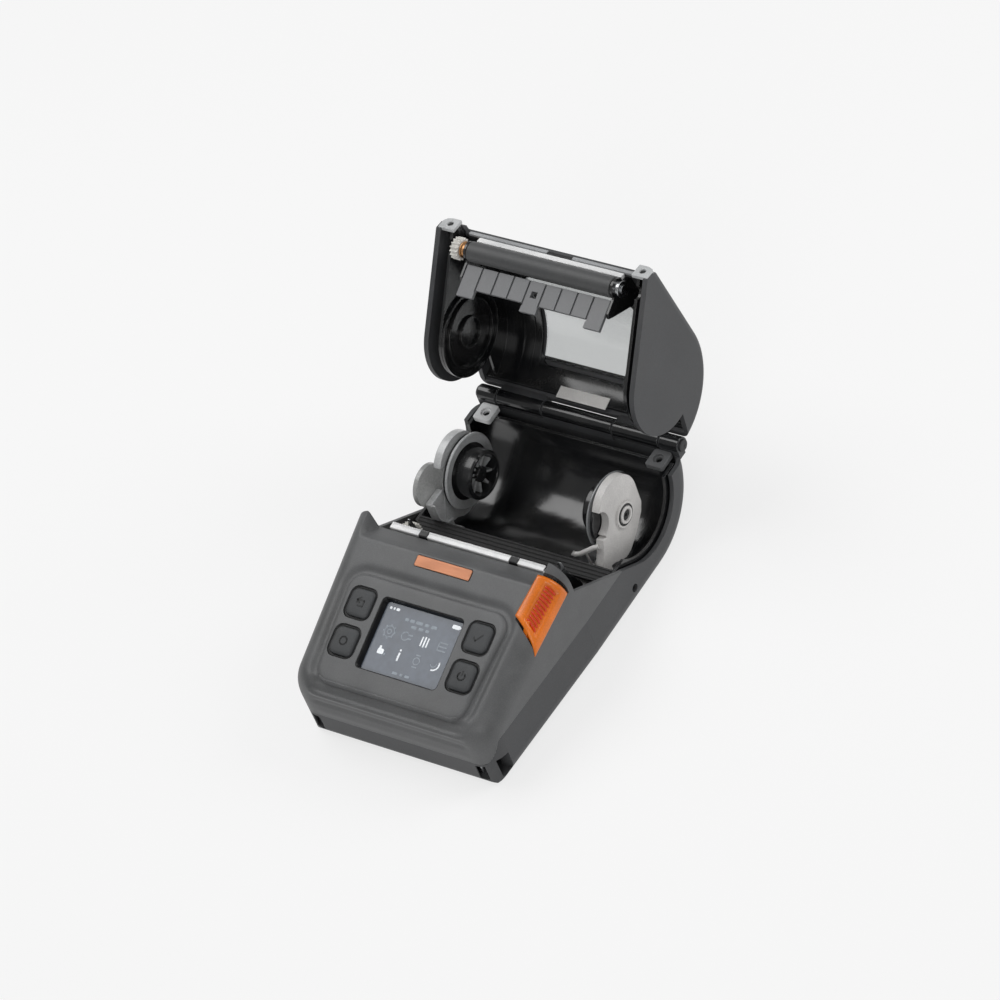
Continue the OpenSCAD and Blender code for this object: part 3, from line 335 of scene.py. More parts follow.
@dataclass(frozen=True)
class Moulded(Finish):
    """A moulded plastic with a spark-eroded grain.

    Attributes:
        grain: The grain's size in mm.
        depth: The grain's depth in mm.
        coat: A thin gloss over it, 0 to 1.
        sheer: How much light passes through a thin wall, 0 to 1.
    """

    grain: float = 0.45
    depth: float = 0.018
    coat: float = 0.0
    sheer: float = 0.0

    def material(self) -> bpy.types.Material:
        """Builds grain, mottle, wear and gloss."""
        material, g, surface = self.shader()
        grain = self.group(g, moulding_grain(), 1000 / self.grain)
        base = tone(self.colour)
        mottled = g.blend(g.remap(grain["Mottle"], 0.35, 0.65), lit(base, 0.86), lit(base, 1.12))
        pores = g.remap(grain["Height"], 0.35, 0.7, 0.88, 1.06)
        colour, normal, mask = self.wear(g, g.shaded(mottled, pores))
        rough = g.remap(grain["Mottle"], 0.3, 0.7, self.roughness - 0.05, self.roughness + 0.06)
        rough = g.math("SUBTRACT", rough, g.times(mask, 0.10))
        self.feed(g, surface, colour, rough, self.bump(g, grain["Height"], normal, self.depth),
                  IOR=1.5, Coat_Weight=self.coat, Coat_Roughness=0.12, Transmission_Weight=self.sheer)
        return material


@dataclass(frozen=True)
class Metal(Finish):
    """A drawn, stamped or plated metal.

    Attributes:
        lines: How far the surface lines are stretched along X, Y and Z.
        depth: The lines' depth in mm.
        tarnish: How much the colour darkens in blotches, 0 to 1.
    """

    lines: Point3 = (60.0, 3000.0, 3000.0)
    depth: float = 0.004
    tarnish: float = 0.2

    def material(self) -> bpy.types.Material:
        """Builds lines, tarnish and bright edges."""
        material, g, surface = self.shader()
        height = self.group(g, turned_lines(), *self.lines)["Height"]
        blotch = g.noise(g.place(), 110.0, 4.0)
        base = tone(self.colour)
        toned = g.blend(g.remap(blotch, 0.4, 0.66), base, lit(base, 1 - 0.6 * self.tarnish))
        colour, normal, _ = self.wear(g, g.shaded(toned, g.remap(height, 0.3, 0.7, 0.9, 1.05)))
        rough = g.remap(height, 0.25, 0.75, self.roughness * 0.75, self.roughness * 1.3)
        self.feed(g, surface, colour, rough, self.bump(g, height, normal, self.depth), Metallic=1.0)
        return material


@dataclass(frozen=True)
class Rubber(Finish):
    """Ground or moulded rubber.

    Attributes:
        lines: How far the grinding marks are stretched along X, Y and Z.
        depth: The marks' depth in mm.
    """

    lines: Point3 = (2200.0, 300.0, 300.0)
    depth: float = 0.012

    def material(self) -> bpy.types.Material:
        """Builds grinding marks, paper dust and a soft sheen."""
        material, g, surface = self.shader()
        height = self.group(g, turned_lines(), *self.lines)["Height"]
        base = tone(self.colour)
        toned = g.blend(g.remap(height, 0.3, 0.7), lit(base, 0.85), lit(base, 1.12))
        colour, normal, _ = self.wear(g, toned)
        rough = g.remap(height, 0.3, 0.7, self.roughness - 0.06, self.roughness + 0.08)
        bumped = self.bump(g, height, normal, self.depth)
        self.feed(g, surface, colour, rough, bumped, Sheen_Weight=0.15, Sheen_Roughness=0.5)
        return material


@dataclass(frozen=True)
class Clear(Finish):
    """A clear or smoky moulding.

    Attributes:
        scratch: The depth of its fine scratches in mm.
    """

    scratch: float = 0.002

    def material(self) -> bpy.types.Material:
        """Builds a tinted clear body with fine scratches."""
        material, g, surface = self.shader()
        height = self.group(g, turned_lines(), 900.0, 160.0, 900.0)["Height"]
        _, normal, mask = self.wear(g, tone(self.colour))
        rough = g.remap(height, 0.45, 0.8, self.roughness, self.roughness + 0.15)
        rough = g.math("ADD", rough, g.times(mask, 0.1))
        bumped = self.bump(g, height, normal, self.scratch)
        self.feed(g, surface, tone(self.colour), rough, bumped, Transmission_Weight=1.0, IOR=1.49)
        return material


@dataclass(frozen=True)
class Glow(Finish):
    """A lit mark on the display.

    Attributes:
        strength: How bright it is.
    """

    strength: float = 0.6

    def material(self) -> bpy.types.Material:
        """Builds a faintly lit ink with uneven edges."""
        material, g, surface = self.shader()
        spots = g.noise(g.place(), 900.0, 1.0)
        ink = g.blend(g.remap(spots, 0.35, 0.65), lit(tone(self.colour), 0.8), tone(self.colour))
        self.feed(g, surface, ink, self.roughness, Emission_Strength=self.strength)
        g.put(surface.inputs["Emission Color"], ink)
        return material


# Meshes


def linked(name: str, data: bpy.types.ID) -> bpy.types.Object:
    """Makes an object of a mesh, lamp or camera and links it to the scene."""
    made = bpy.data.objects.new(name, data)
    bpy.context.scene.collection.objects.link(made)
    return made


def metres(matrix: Matrix) -> Matrix:
    """Returns a matrix in mm with its translation in metres."""
    copy = matrix.copy()
    copy.translation = matrix.translation * MM
    return copy


class Mesher:
    """Collects the faces of one piece in mm and turns them into an object in metres."""

    def __init__(self) -> None:
        """Starts with no faces."""
        self.bm = bmesh.new()

    def points(self, rings: Iterable[Iterable[Point3]]) -> list[list[Vert]]:
        """Makes the corner points of some rings given in mm."""
        return [[self.bm.verts.new(p) for p in ring] for ring in rings]

    def prism(self, outline: Sequence[Point2], axis: Axis, lo: float, hi: float) -> "Mesher":
        """Adds an extruded outline.

        Args:
            outline: Corner points; (y, z) along X, (x, z) along Y, (x, y) along Z.
            axis: The axis it is extruded along.
            lo: Where it starts on that axis.
            hi: Where it ends.

        Returns:
            This mesher, so that calls can follow each other.
        """
        at = {Axis.X: 0, Axis.Y: 1, Axis.Z: 2}[axis]
        return self.loft([[(*p[:at], h, *p[at:]) for p in outline] for h in (lo, hi)])

    def bridge(self, rings: Sequence[Sequence[Vert]], loop: bool = False) -> None:
        """Joins rings of points, one after the other, with four-sided faces."""
        for low, high in zip(rings, [*rings[1:], rings[0]] if loop else rings[1:]):
            n = len(low)
            for i in range(n):
                self.bm.faces.new((low[i], low[(i + 1) % n], high[(i + 1) % n], high[i]))

    def loft(self, rings: Iterable[Iterable[Point3]], loop: bool = False) -> "Mesher":
        """Adds a skin over rings of points given in mm.

        Args:
            rings: Rings with the same number of points.
            loop: Whether the last ring joins the first; otherwise both ends are capped.

        Returns:
            This mesher.
        """
        made = self.points(rings)
        self.bridge(made, loop)
        if not loop:
            self.bm.faces.new(list(reversed(made[0])))
            self.bm.faces.new(made[-1])
        return self

    def grid(self, rows: Iterable[Iterable[Point3]]) -> list[list[Vert]]:
        """Skins open rows of points given in mm and returns the points by row."""
        made = self.points(rows)
        for low, high in zip(made, made[1:]):
            for i in range(len(low) - 1):
                self.bm.faces.new((low[i], low[i + 1], high[i + 1], high[i]))
        return made

    def face_towards(self, towards: Point3) -> None:
        """Turns all faces over if most of the open skin faces away from a direction."""
        self.bm.normal_update()
        if sum(f.normal.dot(Vector(towards)) * f.calc_area() for f in self.bm.faces) < 0:
            bmesh.ops.reverse_faces(self.bm, faces=self.bm.faces)
            self.bm.normal_update()

    def lathe(self, profile: Sequence[Point2], centre: Point2, steps: int = 64) -> "Mesher":
        """Adds a closed profile turned about a line along X.

        Args:
            profile: Points (x, radius).
            centre: The line's y and z.
            steps: Faces round the circle.

        Returns:
            This mesher.
        """
        cy, cz = centre
        turn = [2 * math.pi * i / steps for i in range(steps)]
        rings = [[(x, cy + r * math.cos(a), cz + r * math.sin(a)) for a in turn] for x, r in profile]
        return self.loft(rings, loop=True)

    def tube(self, path: Sequence[Point3], radius: float, steps: int = 10) -> "Mesher":
        """Adds a circle swept along an open path.

        Args:
            path: The points that it follows, in mm.
            radius: The circle's radius.
            steps: Faces round the circle.

        Returns:
            This mesher.
        """
        points = [Vector(p) for p in path]
        angles = [2 * math.pi * k / steps for k in range(steps)]
        turn = [(radius * math.cos(a), radius * math.sin(a)) for a in angles]
        rings = []
        side = (points[1] - points[0]).normalized().orthogonal().normalized()
        for p, behind, ahead in zip(points, points[:1] + points, points[1:] + points[-1:]):
            along = (ahead - behind).normalized()
            side = (side - along * side.dot(along)).normalized()
            up = along.cross(side)
            rings.append([tuple(p + side * c + up * s) for c, s in turn])
        return self.loft(rings)

    def moved(self, matrix: Matrix) -> "Mesher":
        """Moves everything by a matrix in mm and returns this mesher."""
        bmesh.ops.transform(self.bm, matrix=matrix, verts=self.bm.verts)
        return self

    def mesh(self, name: str, matrix: Matrix | None = None, weld: bool = True) -> bpy.types.Mesh:
        """Turns the faces into a mesh in metres and frees them.

        Args:
            name: The mesh's name.
            matrix: Where the shape goes, in mm.
            weld: Whether doubled points are merged and the faces turned outwards.

        Returns:
            The mesh.
        """
        if matrix is not None:
            self.moved(matrix)
        if weld:
            bmesh.ops.remove_doubles(self.bm, verts=self.bm.verts, dist=1e-4)
            bmesh.ops.recalc_face_normals(self.bm, faces=self.bm.faces)
        self.moved(Matrix.Scale(MM, 4))
        made = bpy.data.meshes.new(name)
        self.bm.to_mesh(made)
        self.bm.free()
        return made

    def loose(self, name: str, weld: bool = True) -> bpy.types.Object:
        """Makes an object that rides on nothing yet, for carving or repeating."""
        return linked(name, self.mesh(name, weld=weld))

    def piece(self, name: str, body: Body, finish: Finish, bevel: float = 0.3, matrix: Matrix | None = None,
              sharp: float = 30.0) -> bpy.types.Object:
        """Makes the object, rounds its edges and puts it on its body.

        Args:
            name: The piece's name.
            body: The body that it rides on.
            finish: Its finish.
            bevel: The rounding of its sharp edges in mm; 0 leaves them.
            matrix: Where the piece goes, in mm.
            sharp: The least angle, in degrees, of an edge that is rounded or kept sharp.

        Returns:
            The finished object.
        """
        return place(name, self.mesh(name, matrix), body, finish, bevel, sharp)


def place(name: str, mesh: bpy.types.Mesh, body: Body, finish: Finish, bevel: float = 0.0,
          sharp: float = 32.0) -> bpy.types.Object:
    """Links a mesh as a piece, with its finish, rounding and body."""
    mesh.materials.clear()
    mesh.materials.append(Finishes.get(finish))
    for polygon in mesh.polygons:
        polygon.use_smooth = True
    made = linked(name, mesh)
    if bevel > 0:
        rounding = made.modifiers.new("rounding", "BEVEL")
        rounding.width = bevel * MM
        rounding.segments = 2
        rounding.limit_method = "ANGLE"
        rounding.angle_limit = math.radians(sharp)
        rounding.harden_normals = True
        rounding.use_clamp_overlap = True
    else:
        mesh.set_sharp_from_angle(angle=math.radians(sharp))
    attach(made, body.value)
    LOG.info("piece %s on %s: %d faces", name, body.value, len(mesh.polygons))
    return made


def walled(made: bpy.types.Object, thick_mm: float) -> bpy.types.Object:
    """Gives an open skin a wall on its inner side and returns it."""
    wall = made.modifiers.new("wall", "SOLIDIFY")
    wall.thickness = thick_mm * MM
    wall.offset = -1.0
    return made


def arc(centre: Point2, radius: float, start: float, end: float, steps: int = 12) -> list[Point2]:
    """Points on an arc, its angles in degrees."""
    turn = [math.radians(start + (end - start) * i / steps) for i in range(steps + 1)]
    return [(centre[0] + radius * math.cos(a), centre[1] + radius * math.sin(a)) for a in turn]


def corners() -> tuple[tuple[int, int, int], ...]:
    """The four corners of a rectangle, anticlockwise: the signs of x and y and where the arc starts."""
    return (1, 1, 0), (-1, 1, 90), (-1, -1, 180), (1, -1, 270)


def rounded(width: float, height: float, radius: float, steps: int = 6,
            centre: Point2 = (0, 0)) -> list[Point2]:
    """The outline of a rectangle with rounded corners, anticlockwise."""
    points = []
    for sx, sy, start in corners():
        middle = (centre[0] + sx * (width / 2 - radius), centre[1] + sy * (height / 2 - radius))
        points += arc(middle, radius, start, start + 90, steps)
    return points


# The printer's own sizes and finishes


@dataclass(frozen=True)
class Sizes:
    """The named sizes of the part's source that the dressed pieces need, in mm and degrees."""

    half_width: float = 59.0
    front_y: float = 92.5
    hinge: Point2 = (85.5, 41.0)
    lid_open: float = 96.0
    slope: float = 20.0
    low_z: float = 35.6
    panel_mid: float = -62.9
    panel_len: float = 53.0
    panel_half: float = 44.0
    panel_taper: float = 2.5
    panel_round: float = 8.0
    roll: Point2 = (45.5, 39.5)
    dome: Point2 = (50.0, 36.0)
    platen: Point2 = (-1.9, 45.6)

    def surface_z(self, y: float) -> float:
        """The height of the sloped top of the cover at y."""
        return self.low_z + (y + self.front_y - 3) * math.tan(math.radians(self.slope))

    def on_panel(self) -> Matrix:
        """The frame of the control panel: x across, y up the slope, z out of it."""
        origin = Matrix.Translation((0, self.panel_mid, self.surface_z(self.panel_mid)))
        return origin @ Matrix.Rotation(math.radians(self.slope), 4, "X")

    def opened(self) -> Matrix:
        """Turns the closed lid to its open rest."""
        pivot = Vector((0, *self.hinge))
        turn = Matrix.Rotation(math.radians(-self.lid_open), 4, "X")
        return Matrix.Translation(pivot) @ turn @ Matrix.Translation(-pivot)


SIZE = Sizes()


class Finishes:
    """The printer's finishes by their part of it, each built once."""

    SHELL = Moulded("shell_plastic", "shell_grey", "444547", 0.52, grain=0.5, depth=0.02)
    COVER = Moulded("cover_plastic", "cover_grey", "5e5f60", 0.46, grain=0.5, depth=0.014)
    GLOSS = Moulded("gloss_moulding", "gloss_black", "17181a", 0.16, rub=0.12, dust=0.5, grain=1.4,
                    depth=0.004, coat=0.35)
    SOFT = Moulded("soft_moulding", "soft_black", "1c1d1f", 0.48, grain=0.4, depth=0.012)
    KEY = Moulded("key_rubber", "key_grey", "3f4143", 0.58, grain=0.35, depth=0.012)
    MODULE = Metal("module_tin", "module_grey", "8a8c8e", 0.38)
    FOIL = Metal("plate_foil", "copper_foil", "bd8568", 0.5, lines=(90.0, 2600.0, 2600.0), tarnish=0.12)
    ORANGE = Moulded("lever_plastic", "orange", "f27d12", 0.34, rub=0.2, dust=0.15, grain=0.6, depth=0.006,
                     coat=0.25)
    SPRING = Metal("spring_wire", "spring_steel", "b9bbbd", 0.3)
    STEEL = Metal("plain_steel", "steel", "c2c4c6", 0.26, lines=(2600.0, 90.0, 90.0))
    ALUMINIUM = Metal("head_aluminium", "aluminium", "9fa1a3", 0.36)
    IVORY = Moulded("arm_plastic", "ivory", "d6d4d2", 0.42, rub=0.05, grain=0.5, depth=0.008)
    SMOKE = Moulded("smoke_plastic", "smoke", "c6c7c6", 0.2, grain=0.8, depth=0.006, coat=0.3, sheer=0.4)
    GEAR = Moulded("gear_plastic", "gear_white", "e4e2dc", 0.4, rub=0.05, grain=0.5, depth=0.006)
    BOARD = Moulded("board_mask", "board_green", "1f4a38", 0.3, grain=0.8, depth=0.01, coat=0.3)
    BATTERY = Moulded("battery_case", "battery_black", "232426", 0.5, grain=0.5, depth=0.016)
    WINDOW = Clear("window_clear", "window", "c9cbcb", 0.14)
    GUIDE = Moulded("guide_plastic", "guide_grey", "6f7072", 0.4, grain=0.4, depth=0.01)
    PLATEN = Rubber("platen_rubber", "platen_rubber", "454647", 0.5)
    BRONZE = Metal("bush_bronze", "bronze", "cf9c6c", 0.38)
    LABEL = Moulded("label_paper", "label_white", "f1efec", 0.5, rub=0.0, dust=0.2, grain=0.3, depth=0.004,
                    coat=0.2)
    PAD = Moulded("pad_plastic", "cover_grey", "626364", 0.5, grain=0.4, depth=0.012)
    WELL = Moulded("display_well_gloss", "gloss_black", "0c0c0d", 0.3, rub=0.1, dust=0.15, grain=0.8,
                   depth=0.004)
    SCREEN = Moulded("screen_glass", "display", "5c6470", 0.16, rub=0.0, dust=0.1, grain=3.0, depth=0.001)
    RUBBER_BLACK = Rubber("web_rubber", "soft_black", "141415", 0.62, dust=0.15)
    SIGN = Moulded("key_sign", "soft_black", "232425", 0.5, rub=0.0, dust=0.1, grain=0.3, depth=0.004)
    RIBS = Moulded("rib_plastic", "orange", "e2400f", 0.36, rub=0.1, dust=0.05, grain=0.6, depth=0.006,
                   coat=0.2)
    STRIP = Moulded("strip_plating", "bright_strip", "f4f5f6", 0.22, rub=0.0, dust=0.05, grain=0.25,
                    depth=0.003, coat=0.6)
    CAP = Moulded("cap_plastic", "cover_grey", "c0c2c3", 0.42, grain=0.5, depth=0.01)
    LIP = Moulded("lip_plastic", "cover_grey", "a6a8aa", 0.4, grain=0.5, depth=0.01)
    DISC = Moulded("disc_plastic", "module_grey", "1d1e20", 0.2, dust=0.3, grain=0.9, depth=0.005, coat=0.3)
    ARM = Moulded("arm_smoke", "module_grey", "d0d1d2", 0.26, grain=0.8, depth=0.006, coat=0.3)
    # The two pale greys below are painted highlights on the discs' rims: the brighter one on the left disc,
    # the dimmer one on the right.
    RIM_HIGHLIGHT = Moulded("rim_highlight_plastic", "module_grey", "cbcdce", 0.24, rub=0.1, dust=0.1, grain=0.8, depth=0.005,
                  coat=0.4)
    EDGE_HIGHLIGHT = Moulded("edge_highlight_plastic", "module_grey", "9a9c9e", 0.22, rub=0.2, dust=0.1, grain=0.8, depth=0.005,
                   coat=0.4)
    LINER = Moulded("liner_gloss", "gloss_black", "17181a", 0.19, rub=0.1, dust=0.4, grain=9.0, depth=0.3,
                    coat=0.5)
    MARK = Glow("screen_mark", "display", "dfe3e6", 0.5, strength=0.5)
    FAINT = Glow("screen_mark_faint", "display", "8f979f", 0.5, strength=0.25)
    _made: dict[str, bpy.types.Material] = {}

    @classmethod
    def get(cls, finish: Finish) -> bpy.types.Material:
        """Returns a finish's material, built at its first use."""
        if finish.name not in cls._made:
            cls._made[finish.name] = finish.material()
        return cls._made[finish.name]

    @classmethod
    def by_slot(cls) -> dict[str, Finish]:
        """The finishes by the record's slot names, the first that names a slot."""
        first: dict[str, Finish] = {}
        for held in vars(cls).values():
            if isinstance(held, Finish):
                first.setdefault(held.slot, held)
        return first


# The studio


@dataclass
class Studio:
    """The camera, the soft lamps, the pale floor and the world.

    Attributes:
        eye: Where the camera stands, in mm.
        right: The camera's right, as a direction.
        up: The camera's up, as a direction.
        back: The direction from the object to the camera.
        lens: The lens for a sensor of that width, both in mm.
        sensor: The sensor's width.
        aim: Where the lamps point, in m.
        lamps: Each lamp's place in m, size in m and power in W.
        glow: The world's strength as a light.
        paper: The floor's grey.
        white: The share of the floor that shows as plain white.
        floor_half: Half the floor's side, in m.
        floor_gap: How far the floor lies under the printer, in m.
    """

    eye: Point3 = (1362.0, -1132.6, 1794.3)
    right: Point3 = (0.806, 0.516, -0.289)
    up: Point3 = (-0.227, 0.721, 0.655)
    back: Point3 = (0.546, -0.463, 0.698)
    lens: float = 197.02
    sensor: float = 36.0
    aim: Point3 = (0, 0.02, 0.05)
    lamps: tuple = (
        ((-0.55, 0.10, 1.05), 0.9, 6.0),
        ((0.75, 0.65, 0.70), 0.6, 4.0),
        ((0.55, -0.95, 0.75), 0.7, 3.4),
    )
    glow: float = 0.29
    paper: float = 0.86
    white: float = 0.72
    floor_half: float = 6.0
    floor_gap: float = 0.0002

    def camera(self) -> None:
        """Makes the camera at the picture's place and angle."""
        lens = bpy.data.cameras.new("camera")
        lens.lens = self.lens
        lens.sensor_width = self.sensor
        lens.clip_start, lens.clip_end = 0.1, 30.0
        turn = Matrix([Vector(v).normalized() for v in (self.right, self.up, self.back)])
        holder = linked("camera", lens)
        holder.matrix_world = Matrix.Translation(Vector(self.eye) * MM) @ turn.transposed().to_4x4()
        bpy.context.scene.camera = holder

    def light(self) -> None:
        """Hangs the soft white lamps, each turned to the printer."""
        for i, (spot, size, power) in enumerate(self.lamps):
            lamp = bpy.data.lights.new(f"soft_lamp_{i}", "AREA")
            lamp.shape = "DISK"
            lamp.size = size
            lamp.energy = power
            aim = Vector(self.aim) - Vector(spot)
            turn = aim.to_track_quat("-Z", "Y").to_matrix().to_4x4()
            linked(lamp.name, lamp).matrix_world = Matrix.Translation(spot) @ turn

    def world(self) -> None:
        """Makes a plain world, white where it is seen and weaker as a light."""
        world = bpy.data.worlds.new("studio")
        bpy.context.scene.world = world
        g = cleared(world)
        soft, white = (
            g.add("ShaderNodeBackground", {"Color": (1.0, 1.0, 1.0), "Strength": strength}).outputs[0]
            for strength in (self.glow, 1.0)
        )
        camera = g.add("ShaderNodeLightPath").outputs["Is Camera Ray"]
        both = g.add("ShaderNodeMixShader", {0: camera, 1: soft, 2: white})
        g.put(g.add("ShaderNodeOutputWorld").inputs["Surface"], both.outputs[0])

    def floor(self) -> None:
        """Lays a pale floor that keeps the printer's shadow, whiter to camera, mirror and glass rays."""
        mesh = bpy.data.meshes.new("floor")
        half = self.floor_half
        square = [(-half, -half, 0), (half, -half, 0), (half, half, 0), (-half, half, 0)]
        mesh.from_pydata(square, [], [(0, 1, 2, 3)])
        paper = bpy.data.materials.new("floor_paper")
        g = cleared(paper)
        matt = g.add("ShaderNodeBsdfDiffuse", {"Color": (self.paper,) * 3})
        white = g.add("ShaderNodeEmission", {"Color": (1.0, 1.0, 1.0), "Strength": 1.0})
        path = g.add("ShaderNodeLightPath").outputs
        seen = g.math("MAXIMUM", path["Is Camera Ray"], path["Is Glossy Ray"])
        seen = g.math("MAXIMUM", seen, path["Is Transmission Ray"])
        share = g.times(seen, self.white)
        both = g.add("ShaderNodeMixShader", {0: share, 1: matt.outputs[0], 2: white.outputs[0]})
        g.put(g.add("ShaderNodeOutputMaterial").inputs["Surface"], both.outputs[0])
        mesh.materials.append(paper)
        floor = linked("floor", mesh)
        floor.location.z = -self.floor_gap

    def build(self) -> None:
        """Sets up the whole studio."""
        bpy.context.scene.view_settings.view_transform = "Standard"
        self.camera()
        self.light()
        self.world()
        self.floor()
        LOG.info("studio set up with %d lamps", len(self.lamps))


# Shared shapes


def smooth(value: float, lo: float, hi: float) -> float:
    """A soft step from 0 at lo to 1 at hi."""
    t = min(1.0, max(0.0, (value - lo) / (hi - lo)))
    return t * t * (3 - 2 * t)


def bump_at(value: float, centre: float, width: float) -> float:
    """A soft hump of height 1 round a centre."""
    return math.exp(-(((value - centre) / width) ** 2))


def evaluated(made: bpy.types.Object) -> bpy.types.Mesh:
    """Returns the mesh that an object's modifiers give."""
    return bpy.data.meshes.new_from_object(made.evaluated_get(bpy.context.evaluated_depsgraph_get()))


def carve(made: bpy.types.Object, cutters: Sequence[Mesher]) -> bpy.types.Object:
    """Cuts closed shapes out of a piece and keeps the result as its mesh.

    Args:
        made: The piece that is cut.
        cutters: Closed shapes in mm, each cut in turn.

    Returns:
        The same piece, with no modifier left.
    """
    tools = [cutter.loose("cutter") for cutter in cutters]
    for tool in tools:
        cut = made.modifiers.new("cut", "BOOLEAN")
        cut.operation = "DIFFERENCE"
        cut.solver = "EXACT"
        cut.object = tool
    result = evaluated(made)
    made.modifiers.clear()
    made.data = result
    for tool in tools:
        bpy.data.objects.remove(tool)
    return made


def trim(shape: Mesher, planes: Sequence[tuple[Point3, Point3]]) -> None:
    """Cuts away the part of an open skin that lies behind every one of some planes.

    Args:
        shape: The skin, in mm.
        planes: A point and an outward direction for each plane.
    """
    for spot, out in planes:
        everything = [*shape.bm.verts, *shape.bm.edges, *shape.bm.faces]
        bmesh.ops.bisect_plane(shape.bm, geom=everything, dist=1e-4, plane_co=spot, plane_no=out)
    behind = []
    for f in shape.bm.faces:
        middle = f.calc_center_median()
        if all((middle - Vector(spot)).dot(Vector(out)) < 0 for spot, out in planes):
            behind.append(f)
    bmesh.ops.delete(shape.bm, geom=behind, context="FACES")


def settle(made: bpy.types.Object, body: Body, finish: Finish, bevel: float = 0.0,
           sharp: float = 32.0) -> bpy.types.Object:
    """Turns a loose object into a finished piece on its body."""
    name, mesh = made.name, made.data
    bpy.data.objects.remove(made)
    return place(name, mesh, body, finish, bevel, sharp)


def row_tree() -> bpy.types.NodeTree:
    """Makes, once, the geometry tree that sets copies of its own mesh in a row.

    Returns:
        The tree, with the inputs Count, Step and Turn.
    """
    name = "row_of_copies"
    if name in bpy.data.node_groups:
        return bpy.data.node_groups[name]
    tree = bpy.data.node_groups.new(name, "GeometryNodeTree")
    for key, kind in (("Shape", "Geometry"), ("Count", "Int"), ("Step", "Vector"), ("Turn", "Float")):
        tree.interface.new_socket(key, in_out="INPUT", socket_type=f"NodeSocket{kind}")
    tree.interface.new_socket("Row", in_out="OUTPUT", socket_type="NodeSocketGeometry")
    g = Graph(tree)
    given = g.add("NodeGroupInput").outputs
    line = g.add("GeometryNodeMeshLine", {"Count": given["Count"], "Offset": given["Step"]})
    points = g.add("GeometryNodeMeshToPoints", {"Mesh": line.outputs[0]})
    order = g.times(g.add("GeometryNodeInputIndex").outputs[0], given["Turn"])
    turn = g.add("ShaderNodeCombineXYZ", {0: order}).outputs[0]
    spots = {"Points": points.outputs[0], "Instance": given["Shape"], "Rotation": turn}
    copies = g.add("GeometryNodeInstanceOnPoints", spots)
    real = g.add("GeometryNodeRealizeInstances", {"Geometry": copies.outputs[0]})
    g.put(g.add("NodeGroupOutput").inputs[0], real.outputs[0])
    return tree


def repeat(name: str, shape: Mesher, body: Body, finish: Finish, count: int, step: Point3 = (0, 0, 0),
           turn: float = 0.0, start: Point3 = (0, 0, 0), matrix: Matrix | None = None) -> bpy.types.Object:
    """Repeats a small shape in a row or round X with Geometry Nodes and makes it one piece.

    Args:
        name: The piece's name.
        shape: The small shape, in mm, about its own origin.
        body: The body that it rides on.
        finish: Its finish.
        count: How many there are.
        step: From one to the next, in mm.
        turn: The turn about X from one to the next, in degrees.
        start: Where the first one sits, in mm.
        matrix: The frame that the row stands in, in mm.

    Returns:
        The finished piece.
    """
    seed = shape.loose(name)
    row = seed.modifiers.new("row", "NODES")
    row.node_group = row_tree()
    values = {"Count": count, "Step": tuple(v * MM for v in step), "Turn": math.radians(turn)}
    for item in row.node_group.interface.items_tree:
        if item.name in values:
            row[item.identifier] = values[item.name]
    mesh = evaluated(seed)
    bpy.data.objects.remove(seed)
    mesh.name = name
    mesh.transform(Matrix.Translation(Vector(start) * MM))
    if matrix is not None:
        mesh.transform(metres(matrix))
    return place(name, mesh, body, finish)


# Front cover


